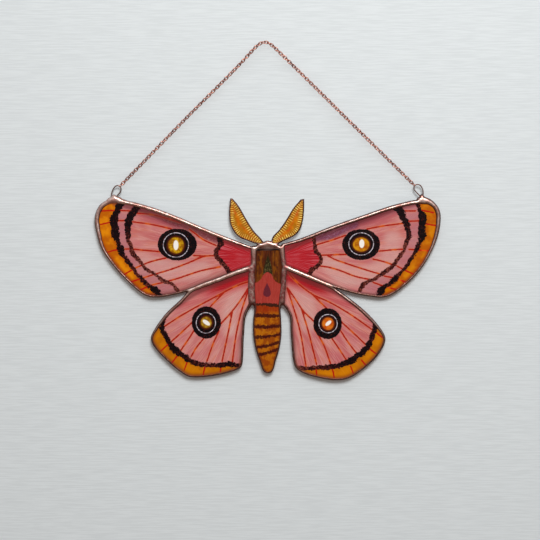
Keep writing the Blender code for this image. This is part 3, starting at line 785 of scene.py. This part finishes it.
# antenna glass
antennae = {
    "cell": 0.32, "halfGlass": 1.5, "tuck": 0.15, "barbEvery": 1.5,
    "leftRib": [(-23.6, -102.5), (-22.8, -105.7), (-20.8, -112.3), (-18.2, -119), (-13.5, -123.6),
                (-8.2, -128.9), (-3.5, -132.3)],
    "rightRib": [(24.4, -103), (23.1, -106.3), (20.4, -112.3), (18.4, -117), (15.8, -122.3),
                 (11.8, -126.3), (6.5, -130.9)],
    "amber": srgb(214, 128, 0), "olive": srgb(176, 112, 0), "orange": srgb(206, 84, 0),
    "barb": srgb(255, 234, 120), "gap": srgb(138, 68, 0)}


def antennaGlass():
    f = Finish("antennaPaint")
    cloud = f.grainy(f.place, 0.3, 3)
    colour = f.mix(f.ramp(cloud, 0.2, 0.8), antennae["amber"], antennae["olive"])
    ribFar = f.stir(f.note("ribFar"), f.grainy(f.place, 0.6, 4), 1.8)
    rib = f.times(f.ramp(ribFar, 0.1, 1.3, 0.8, 0.0), f.ramp(cloud, 0.3, 0.75, 0.25, 1.0))
    colour = f.mix(rib, colour, antennae["orange"])
    # pale barbs with dark gaps stand along the edge
    wave = f.calc("SINE", f.times(f.note("edgeAlong"), 2 * math.pi / antennae["barbEvery"]))
    wave = f.stir(wave, f.grainy(f.place, 1.0, 2), 0.4)
    length = f.stir(f.note("depth"), f.grainy(f.place, 0.6, 2), 1.6)
    reach = f.ramp(length, 1.6, 3.6, 1.0, 0.0)
    colour = f.mix(f.times(f.ramp(wave, 0.2, -0.2), f.times(reach, 0.6)), colour, antennae["gap"])
    barb = f.times(f.ramp(wave, 0.1, 0.4), reach)
    faded = f.ramp(f.grainy(f.place, 0.35, 2), 0.3, 0.7, 0.3, 0.8)
    colour = f.mix(f.times(barb, faded), colour, antennae["barb"])
    colour = f.mix(f.ramp(f.note("depth"), 0.2, 0.6, 0.5, 0.0), colour, antennae["gap"])
    f.set(Base_Color=colour, Roughness=f.ramp(cloud, 0, 1, 0.2, 0.3),
          Transmission_Weight=f.ramp(barb, 0, 1, 0.2, 0.05), **glassSurface)
    f.relief(f.grainy(f.place, 0.2, 2), 0.1)
    return f.material


antennaPaint = antennaGlass()
for side in ("left", "right"):
    loop = paneLoops[side + "_antenna"]
    sheet = paneSheet(loop, antennae)
    notes = {"ribFar": nearest(sheet[0], smoothLine(antennae[side + "Rib"], 0.6))[0],
             "edgeAlong": nearest(sheet[0], loop, True)[2], "depth": depthIn(sheet[0], loop, 3)[0]}
    pane = slab(side + "AntennaPane", sheet, -antennae["halfGlass"], antennae["halfGlass"], notes,
                antennaPaint)
    pane.visible_shadow = pane.visible_diffuse = False  # light comes through the amber glass
    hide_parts(side + "_antenna_glass")

# solder: one network of beads around and between the panes
# each border lists (x, z, visible width of metal) around its pane
solder = {
    "low": (-117.5, -226), "high": (118.5, -97.5),
    "cell": 0.34, "edgeHeight": 0.8, "glassHeight": 1.57, "dome": 0.93, "fullDome": 2.4, "crest": 2.5,
    "merge": 0.55, "ragged": 0.12, "lump": 0.03, "soften": 4, "recessDepth": 0.45,
    "borders": {
        "left_forewing": [(-113.5, -120, 3.2), (-110, -110, 3.3), (-102, -104, 3.0), (-85, -108, 2.8),
                          (-55, -118, 2.7), (-25, -130, 2.4), (-12, -134, 1.9), (-8.3, -139, 1.5),
                          (-8.6, -147, 1.6), (-20, -152, 1.5), (-35, -157.8, 1.4), (-50, -163.5, 1.4),
                          (-58, -166.5, 1.4), (-72, -168, 1.4), (-82, -165, 1.4), (-92, -156, 1.5),
                          (-101, -146, 1.6), (-108, -135, 2.2), (-111, -128, 2.8)],
        "right_forewing": [(115, -120, 3.0), (111, -109, 3.2), (103, -104, 3.0), (85, -107.5, 2.8),
                           (55, -118, 2.7), (25, -129, 2.4), (13, -134, 1.9), (10.4, -139, 1.4),
                           (11.5, -147, 1.5), (20, -151.5, 1.5), (35, -157.8, 1.4), (48, -163, 1.4),
                           (62, -166.5, 1.4), (75, -168, 1.4), (85, -164, 1.4), (95, -155, 1.5),
                           (104, -145, 1.6), (110, -134, 2.2), (113.5, -127, 2.7)],
        "left_hindwing": [(-52, -166, 2.2), (-60, -172, 2.4), (-68, -180, 2.5), (-75, -190, 1.6),
                          (-73, -200, 1.3), (-63, -213, 1.2), (-50, -220, 1.2), (-35, -221, 1.2),
                          (-20, -218, 1.2), (-14.5, -205, 1.4), (-14, -190, 1.4), (-13, -180, 1.6),
                          (-10, -172, 2.4), (-9.8, -160, 2.4), (-9, -151, 2.0), (-20, -153, 1.5),
                          (-35, -158.5, 1.4), (-46, -162.5, 1.5)],
        "right_hindwing": [(50, -166, 2.2), (62, -173, 2.4), (71, -180, 2.5), (78, -190, 1.6),
                           (75, -202, 1.3), (65, -215, 1.2), (50, -222, 1.2), (35, -222.5, 1.2),
                           (22, -219, 1.2), (17, -205, 1.4), (15.5, -190, 1.4), (13.5, -180, 1.5),
                           (11.5, -172, 1.4), (12, -160, 1.1), (12, -151, 1.6), (20, -152.2, 1.5),
                           (35, -158.5, 1.4), (43, -162, 1.5)],
        "body": [(-6, -135.6, 1.8), (0, -135.6, 1.9), (8, -135.6, 1.8), (-8.3, -142, 1.45),
                 (-8.8, -149, 1.6), (-9.5, -156, 1.9), (-9.4, -168, 1.9), (-9.2, -173.5, 1.5),
                 (-9, -178, 1.0), (-9.2, -195, 1.0), (-4, -212, 1.0), (1.1, -219, 1.0), (6, -212, 1.0),
                 (11, -195, 1.0), (10.6, -178, 1.0), (10.6, -173.5, 1.8), (10.9, -167, 2.0),
                 (11.8, -155, 1.7), (11.9, -149, 1.4), (11, -142, 1.2)],
        "left_antenna": [(-24, -110, 0.88), (-5, -132, 0.95)],
        "right_antenna": [(24, -110, 0.88), (8, -131, 0.95)]},
    "seams": [[(-8.6, -148.2, 1.6), (-17.5, -151.1, 1.45), (-30.8, -156.2, 1.4), (-44.1, -161.1, 1.4),
               (-50.7, -163.7, 1.5)],
              [(11.9, -148, 1.6), (17.1, -150.2, 1.45), (29.1, -155.2, 1.4), (42.4, -160.6, 1.5)],
              [(-8.3, -135.7, 1.3), (-8.3, -142.2, 1.3), (-8.6, -148.2, 1.6), (-9.6, -160.2, 1.7),
               (-9.3, -171.5, 1.5)],
              [(10.4, -135.3, 1.3), (11, -142.2, 1.3), (11.9, -148, 1.6), (11.6, -162.2, 1.5),
               (10.7, -171.5, 1.6)]],
    "neck": [(-7.6, -136.4, 1.1), (-4.6, -134.2, 1.2), (-1.5, -133.3, 1.3), (1.4, -133.1, 1.3),
             (4.8, -133.4, 1.3), (9, -135.6, 1.1)],
    "neckBead": (0.8, -131.9, 1.9, 1.2, 0),
    "recess": [(-5.6, -136.8, 0.9), (-2, -136.1, 1.1), (1.2, -135.8, 1.2), (4.6, -136.1, 1.1),
               (8, -137, 0.9)],
    "blobs": [(1.0, -135.1, 4.2, 1.1, 0), (-101.2, -103.2, 4.4, 1.8, 6), (-101.2, -101.6, 1.3, 1.5, 0),
              (-96.5, -103.9, 3.4, 1.0, -14), (104.2, -103.4, 3.9, 1.7, -8),
              (103.4, -101.3, 1.3, 1.5, 0), (108.4, -104.4, 3.0, 1.1, -28)],
    "bright": srgb(222, 196, 186), "rosy": srgb(188, 140, 128), "patinaAndShade": srgb(84, 46, 38),
    "mauve": srgb(158, 72, 74), "dark": srgb(24, 9, 4)}

tucks = {"body": body["tuck"], "left_antenna": antennae["tuck"], "right_antenna": antennae["tuck"]}
solderLoops = {name: nodeLoop(name + "_edging", -2.0) for name in solder["borders"]}
solderLoops["body"] = waisted(solderLoops["body"])


# the visible width of a border at any distance along its loop
def borderWidth(loop, marks):
    marks = np.array(marks)
    _, _, spot, _ = nearest(marks[:, :2], loop, True)
    total = np.linalg.norm(loop - np.roll(loop, -1, 0), axis=1).sum()
    order = np.argsort(spot)
    spot, width = spot[order], marks[order, 2]
    ring = np.concatenate([spot - total, spot, spot + total])
    return lambda along: np.interp(along, ring, np.tile(width, 3))


borderWidths = {name: borderWidth(loop, solder["borders"][name]) for name, loop in solderLoops.items()}


# distances from each place to the metal's outer edge and to each pane's window, all above 0 on metal
def solderFields(places):
    reaches, windows = [], []
    for name, loop in solderLoops.items():
        depth, along = depthIn(places, loop)
        reaches.append(depth)
        width = borderWidths[name](along) + solder["ragged"] * lumps(places, 6, 5)
        windows.append(np.where(depth > -3.9, width - depth, 9.0))
    reaches += [strokeDepth(places, line) for line in solder["seams"] + [solder["neck"]]]
    reaches += [-ellipse(places, blob) for blob in solder["blobs"] + [solder["neckBead"]]]
    k = solder["merge"]
    outer = k * np.log(sum(np.exp(np.clip(r, -6, 9) / k) for r in reaches))
    return outer, windows


def solderField(places):
    outer, windows = solderFields(places)
    return np.minimum(outer, np.min(windows, axis=0))


solderSheet = cutSheet(solderField, solder["low"], solder["high"], solder["cell"])
print("solder sheet cut:", len(solderSheet[1]), "triangles")
spots = solderSheet[0]
outer, windows = solderFields(spots)
gaps = np.sort(np.maximum(np.vstack([outer[None], windows]), 0.0), axis=0)
outer, first, second = np.maximum(outer, 0), gaps[0], gaps[1]
across = first + second + 1e-6
# each bead: a low outer edge, a step up to the glass and a round crest between
rise = np.clip(1 - (1 - 2 * first / across)**2, 0, 1)**0.75
rise *= np.sqrt(np.minimum(across / solder["fullDome"], 1.2))
toGlass = np.min(windows, axis=0).clip(0)
step = solder["glassHeight"] - solder["edgeHeight"]
base = solder["edgeHeight"] + step * np.maximum(ease(outer, -0.1, 0.45), 1 - ease(toGlass, 0, 0.3))
uneven = lumps(spots, 5.5, 11) + 0.4 * lumps(spots, 2.2, 12)
recess = ease(strokeDepth(spots, solder["recess"], 0.6), -0.5, 0.5)
height = base + solder["dome"] * rise + solder["lump"] * uneven * np.minimum(first / 0.6, 1)
height = np.minimum(height * (1 - solder["recessDepth"] * recess), solder["crest"])
links = np.vstack([solderSheet[1][:, [0, 1]], solderSheet[1][:, [1, 2]], solderSheet[1][:, [2, 0]]])
links = np.vstack([links, links[:, ::-1]])
inner, neighbours = first > 0.02, np.bincount(links[:, 0], minlength=len(height))
for _ in range(solder["soften"]):  # soft crests where beads meet
    mean = np.bincount(links[:, 0], height[links[:, 1]], len(height)) / neighbours
    height = np.where(inner, mean, height)
overGlass = np.max([depthIn(spots, loop, 2)[0] + tucks.get(name, wingLook["tuck"])
                    for name, loop in paneLoops.items()], axis=0)
height = np.maximum(height, solder["edgeHeight"] + step * ease(overGlass, -0.35, 0))  # above the panes
# where the metal is bare foil or stained: darker on the antennae, the lower body, the side strips and the
# hindwing borders (less at their bottom), with painted shade on the right forewing's top border and painted
# light on the top-left border
antennaNear = np.max([depthIn(spots, solderLoops[side + "_antenna"])[0]
                      for side in ("left", "right")], axis=0)
foil = ease(antennaNear, -0.6, 0.1) * (1 - ease(-spots[:, 1], 130.5, 132.5))
# painted light: the left forewing's top border gets narrower dark edges, so it reads lighter
litTopLeft = ease(-spots[:, 0], 14, 25) * ease(spots[:, 1] + 106 + 0.3265 * (spots[:, 0] + 110), -1, 1)
fromEdge = np.minimum(first, 3) + 0.4 * litTopLeft
down, aside = -spots[:, 1], np.abs(spots[:, 0] - 1)
lowBody = ease(down, 173, 178) * ease(12.5 - aside, -1, 1)
flank = ease(down, 138, 146) * (1 - ease(down, 177, 180)) * ease(aside, 7.6, 8.6)
flank = flank * (1 - ease(aside, 13.6, 15))
hind = ease(down, 168, 174) * ease(aside, 12, 14) * (1 - 0.5 * ease(down, 205, 214))
strapEnd = ease(down, 170, 172) * (1 - ease(down, 175, 177)) * ease(aside, 7.5, 8.5)
strapEnd = strapEnd * (1 - ease(aside, 15, 17))
# painted shade: the right forewing's top border is darker near its edges
rightTopShade = ease(spots[:, 0], 14, 22) * ease(-down, -132, -129) * ease(first, 2.2, 0.2)
stainAndShade = np.clip(0.5 * rightTopShade + 0.85 * foil + 0.35 * lowBody + 0.2 * flank + 0.5 * hind * (1 - lowBody)
                + 0.6 * strapEnd, 0, 1)
# the painted shade in the neck groove is lighter in its upper part
recess *= 0.55 + 0.45 * ease(down, 135, 136.6)


def solderMetal():
    f = Finish("solderMetal")
    speck = f.grainy(f.place, 1.3, 4, 0.6)
    cloud = f.grainy(f.place, 0.28, 3)
    colour = f.mix(f.ramp(cloud, 0.1, 0.9), solder["bright"], solder["rosy"])
    colour = f.mix(f.times(f.ramp(speck, 0.45, 1.0), 0.45), colour, solder["patinaAndShade"])
    # painted shade: dark lines along both edges of every bead, in the patina colour, weaker on the side
    # strips
    edge = f.ramp(f.stir(f.note("fromEdge"), cloud, 0.25), 0.2, 0.85, 0.95, 0.0)
    colour = f.mix(f.times(edge, f.ramp(f.note("flank"), 0, 1, 1.0, 0.45)), colour, solder["patinaAndShade"])
    mottle = f.ramp(f.grainy(f.place, 0.55, 4, 0.7), 0.2, 0.8, 0.9, 0.1)
    colour = f.mix(f.times(f.note("flank"), mottle), colour, solder["mauve"])
    # real stains and tarnish on the metal, and the painted shade of the right forewing's top border
    stainAndShade = f.times(f.note("stainAndShade"), f.ramp(speck, 0.1, 0.9, 1.0, 0.72))
    colour = f.mix(stainAndShade, colour, solder["patinaAndShade"])
    # painted shade in the groove under the neck bead: dark, dull and not metal
    colour = f.mix(f.note("recess"), colour, solder["dark"])
    f.set(Base_Color=colour, Metallic=f.ramp(f.note("recess"), 0, 1, 0.95, 0.0), Specular_IOR_Level=0.1,
          Roughness=f.calc("MAXIMUM", f.ramp(speck, 0, 1, 0.27, 0.4), f.times(f.note("recess"), 0.85)))
    f.relief(f.calc("ADD", f.times(speck, 0.25), f.grainy(f.place, 0.4, 2)), 0.035)
    return f.material


solderNotes = {"fromEdge": fromEdge, "stainAndShade": stainAndShade, "flank": flank, "recess": recess}
solderPiece = slab("solderNetwork", solderSheet, -height, height, solderNotes, solderMetal(),
                   True)
solderPiece.visible_diffuse = False  # keeps the narrow gaps beside the antennae from going black
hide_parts("neck_solder", *[name + "_edging" for name in solderLoops])


# wire work: a round tube along a line through space
def tube(lines, radius, around, closed):
    spots, faces = [], []
    for line in lines:
        count, start = len(line), len(spots)
        ahead = np.roll(line, -1, 0) - np.roll(line, 1, 0)
        if not closed:
            ahead[0], ahead[-1] = line[1] - line[0], line[-1] - line[-2]
        ahead /= np.linalg.norm(ahead, axis=1)[:, None]
        flat = np.linalg.svd(line - line.mean(0))[2][2]  # across the wire's own plane
        side = np.cross(ahead, flat)
        side /= np.linalg.norm(side, axis=1)[:, None]
        turn = 2 * math.pi * np.arange(around) / around
        ring = (line[:, None] + radius * (np.cos(turn)[None, :, None] * side[:, None]
                                          + np.sin(turn)[None, :, None] * np.cross(side, ahead)[:, None]))
        spots += ring.reshape(-1, 3).tolist()
        for i in range(count if closed else count - 1):
            a, b = start + i * around, start + (i + 1) % count * around
            faces += [[a + k, a + (k + 1) % around, b + (k + 1) % around, b + k] for k in range(around)]
        if not closed:
            faces += [[start + k for k in range(around)][::-1],
                      [start + (count - 1) * around + k for k in range(around)]]
    return spots, faces


# tubes along the given lines, joined in one piece
def wirePiece(name, lines, radius, around, closed, material):
    spots, faces = tube(lines, radius, around, closed)
    mesh = bpy.data.meshes.new(name)
    mesh.from_pydata((np.array(spots) * mm).tolist(), [], faces)
    mesh.polygons.foreach_set("use_smooth", [True] * len(mesh.polygons))
    return placePiece(mesh, name, material)


# worn copper or tinned wire
def wireMetal(name, look):
    f, rough = Finish(name), look["rough"]
    speck = f.grainy(f.place, 1.6, 4, 0.6)
    cloud = f.grainy(f.place, 0.2, 2)
    colour = f.mix(f.ramp(cloud, 0.1, 0.9), look["bright"], look["deep"])
    colour = f.mix(f.times(f.ramp(speck, 0.5, 1.0), 0.5), colour, look["tarnish"])
    f.set(Base_Color=colour, Metallic=0.95, Roughness=f.ramp(speck, 0, 1, rough, rough + 0.15))
    f.relief(speck, 0.015)
    return f.material


hangingLoops = {
    "radius": 0.42, "around": 12, "bow": 0.25, "rough": 0.28,
    "bright": srgb(150, 124, 118), "deep": srgb(112, 88, 82), "tarnish": srgb(62, 44, 42),
    "left": [(-102.6, -102.2), (-102.9, -99.9), (-102.5, -98.0), (-101.7, -96.2), (-100.5, -94.6),
             (-98.8, -94.0), (-97.2, -94.9), (-96.6, -96.6), (-97.3, -98.6), (-98.6, -100.0),
             (-99.8, -102.2)],
    "right": [(103.0, -102.2), (101.4, -100.1), (99.7, -98.4), (98.4, -96.6), (98.2, -95.0),
              (99.0, -93.7), (100.6, -93.3), (102.3, -93.8), (103.5, -95.4), (104.2, -97.4),
              (104.3, -99.0), (103.8, -102.0)]}
loopMetal = wireMetal("loopMetal", hangingLoops)
for side in ("left", "right"):
    flat = smoothLine(hangingLoops[side], 0.35)
    bow = hangingLoops["bow"] * np.sin(np.linspace(0, math.pi, len(flat)))
    piece = wirePiece(side + "HangingLoop", [np.stack([flat[:, 0], bow, flat[:, 1]], 1)],
                      hangingLoops["radius"], hangingLoops["around"], False, loopMetal)
    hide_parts(side + "_hanging_loop")

# chain: oval links, each turned a quarter against the next
chain = {
    "pitch": 2.05, "halfLength": 1.5, "halfWidth": 1.02, "wire": 0.31, "oval": 0.85,
    "rolls": (52, -38), "loose": 9, "steps": 20, "around": 8, "seed": 7, "rough": 0.26,
    "path": [(-97.3, -94.5), (-53.9, -49.8), (-10.5, -5.6), (-8.8, -3.7), (-7.2, -2.1), (-5.5, -0.6),
             (-3.9, 0.5), (-1.9, 1.15), (-0.1, 1.2), (1.5, 0.7), (3.1, -0.3), (5.1, -1.9), (7.8, -4.5),
             (53.4, -49.4), (98.6, -94.0)],
    "bright": srgb(212, 152, 134), "deep": srgb(150, 92, 78), "tarnish": srgb(72, 38, 32)}


def chainLinks():
    chance = np.random.default_rng(chain["seed"])
    path = smoothLine(chain["path"], 0.25)
    reach = np.concatenate([[0], np.cumsum(np.linalg.norm(np.diff(path, axis=0), axis=1))])
    count = int(round(reach[-1] / chain["pitch"]))
    count += 1 - count % 2  # an odd number, so both end links stand edge-on over their loops
    links = []
    for i in range(count):
        spot = reach[-1] * (i + 0.5) / count
        before, middle, after = (np.array([np.interp(spot + shift, reach, path[:, side]) for side in (0, 1)])
                                 for shift in (-1, 0, 1))
        ahead = after - before
        ahead /= np.linalg.norm(ahead)
        run = np.array([ahead[0], 0, ahead[1]])
        roll = math.radians(chain["rolls"][i % 2] + chance.uniform(-chain["loose"], chain["loose"]))
        wide = math.cos(roll) * np.array([-ahead[1], 0, ahead[0]]) + math.sin(roll) * np.array([0, 1, 0])
        turn = 2 * math.pi * np.arange(chain["steps"]) / chain["steps"]
        long = np.sign(np.cos(turn)) * np.abs(np.cos(turn))**chain["oval"] * chain["halfLength"]
        broad = np.sign(np.sin(turn)) * np.abs(np.sin(turn))**chain["oval"] * chain["halfWidth"]
        links.append(np.array([middle[0], 0, middle[1]]) + long[:, None] * run + broad[:, None] * wide)
    print("chain links:", count, "over", round(float(reach[-1]), 1), "mm")
    return links


chainPiece = wirePiece("linkChain", chainLinks(), chain["wire"], chain["around"], True,
                       wireMetal("chainCopper", chain))
chainPiece.visible_shadow = False  # its shadow on the wall is too faint to see
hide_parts("left_chain", "right_chain", "chain_crown")

# the place it hangs in: pale wall, pale floor, soft light
studio = {
    "wallGap": 3.0, "reach": 3, "wallTop": 2.5, "floorFront": -4, "floorDrop": -0.6,
    "wall": srgb(213, 220, 222), "wallStroke": srgb(221, 228, 230), "floor": srgb(214, 214, 210),
    "sky": (0.66, 0.67, 0.69, 1), "level": (0.27, 0.25, 0.235, 1), "ground": (0.24, 0.17, 0.13, 1),
    "pale": (0.8, 0.82, 0.83, 1), "heights": (0.32, 0.5, 0.74),
    "lamp": (0.16, -1.0, 0.5), "lampAim": (0, 0, -0.16), "lampSize": 0.52, "lampPower": 10.0,
    "camera": (0.00246, -0.848, -0.1502), "lens": 85, "sensor": 36, "nearest": 0.01}


# paint laid on in level strokes; from behind the wall lets the view through
def wallPaint():
    f = Finish("paleWall")
    board = f.grainy(f.stretch(f.place, (0.05, 1, 1.1)), 1.0, 3, 0.6)
    f.set(Base_Color=f.mix(f.ramp(board, 0.2, 0.8), studio["wall"], studio["wallStroke"]), Roughness=0.7)
    f.relief(board, 0.02)
    clear = f.add("ShaderNodeBsdfTransparent")
    pick = f.add("ShaderNodeMixShader")
    f.feed(pick.inputs[0], f.add("ShaderNodeNewGeometry").outputs["Backfacing"])
    f.tree.links.new(f.shader.outputs[0], pick.inputs[1])
    f.tree.links.new(clear.outputs[0], pick.inputs[2])
    f.tree.links.new(pick.outputs[0], f.output.inputs[0])
    return f.material


def stageSheet(name, corners, material):
    mesh = bpy.data.meshes.new(name)
    mesh.from_pydata(corners, [], [[0, 1, 2, 3]])
    mesh.materials.append(material)
    sheet = bpy.data.objects.new(name, mesh)
    bpy.context.scene.collection.objects.link(sheet)
    sheet.visible_diffuse = sheet.visible_glossy = sheet.visible_shadow = False
    return sheet


gap, drop, top = studio["wallGap"] * mm, studio["floorDrop"], studio["wallTop"]
reach, front = studio["reach"], studio["floorFront"]
stageSheet("paleWall", [(-reach, gap, drop), (reach, gap, drop),
                        (reach, gap, top), (-reach, gap, top)], wallPaint())
floorPaint = Finish("paleFloor")
floorPaint.set(Base_Color=studio["floor"], Roughness=0.8)
stageSheet("paleFloor", [(-reach, front, drop), (reach, front, drop),
                         (reach, reach, drop), (-reach, reach, drop)], floorPaint.material)

world = bpy.data.worlds.new("softRoom")
bpy.context.scene.world = world
world.use_nodes = True
tree = world.node_tree
tree.nodes.clear()
direction = tree.nodes.new("ShaderNodeTexCoord")
split = tree.nodes.new("ShaderNodeSeparateXYZ")
bands = tree.nodes.new("ShaderNodeValToRGB")  # dim at eye level, bright above, brown below
lift = tree.nodes.new("ShaderNodeMath")
lift.operation = "MULTIPLY_ADD"
lift.inputs[1].default_value, lift.inputs[2].default_value = 0.5, 0.5
bands.color_ramp.interpolation = "EASE"
for stop, title in zip(studio["heights"], ("ground", "level", "sky")):
    bands.color_ramp.elements.new(stop).color = studio[title]
bands.color_ramp.elements.remove(bands.color_ramp.elements[0])
bands.color_ramp.elements.remove(bands.color_ramp.elements[-1])
seen = tree.nodes.new("ShaderNodeLightPath")
blend = tree.nodes.new("ShaderNodeMix")
blend.data_type = "RGBA"
colours = [s for s in blend.inputs if s.type == "RGBA"]
colours[1].default_value = studio["pale"]
background = tree.nodes.new("ShaderNodeBackground")
tree.links.new(direction.outputs["Generated"], split.inputs[0])
tree.links.new(split.outputs["Z"], lift.inputs[0])
tree.links.new(lift.outputs[0], bands.inputs["Fac"])
tree.links.new(bands.outputs["Color"], colours[0])
tree.links.new(seen.outputs["Is Camera Ray"], blend.inputs["Factor"])
tree.links.new([s for s in blend.outputs if s.type == "RGBA"][0], background.inputs["Color"])
tree.links.new(background.outputs[0], tree.nodes.new("ShaderNodeOutputWorld").inputs[0])

lamp = bpy.data.lights.new("softLamp", "AREA")
lamp.shape, lamp.size, lamp.energy = "DISK", studio["lampSize"], studio["lampPower"]
lampObject = bpy.data.objects.new("softLamp", lamp)
lampObject.location = studio["lamp"]
aim = Vector(studio["lampAim"]) - Vector(studio["lamp"])
lampObject.rotation_euler = aim.to_track_quat("-Z", "Y").to_euler()
bpy.context.scene.collection.objects.link(lampObject)

camera = bpy.data.cameras.new("frontView")
camera.lens, camera.sensor_width, camera.clip_start = studio["lens"], studio["sensor"], studio["nearest"]
cameraObject = bpy.data.objects.new("frontView", camera)
cameraObject.location = studio["camera"]
cameraObject.rotation_euler = (math.pi / 2, 0, 0)
bpy.context.scene.collection.objects.link(cameraObject)
bpy.context.scene.camera = cameraObject

print("scene ready")
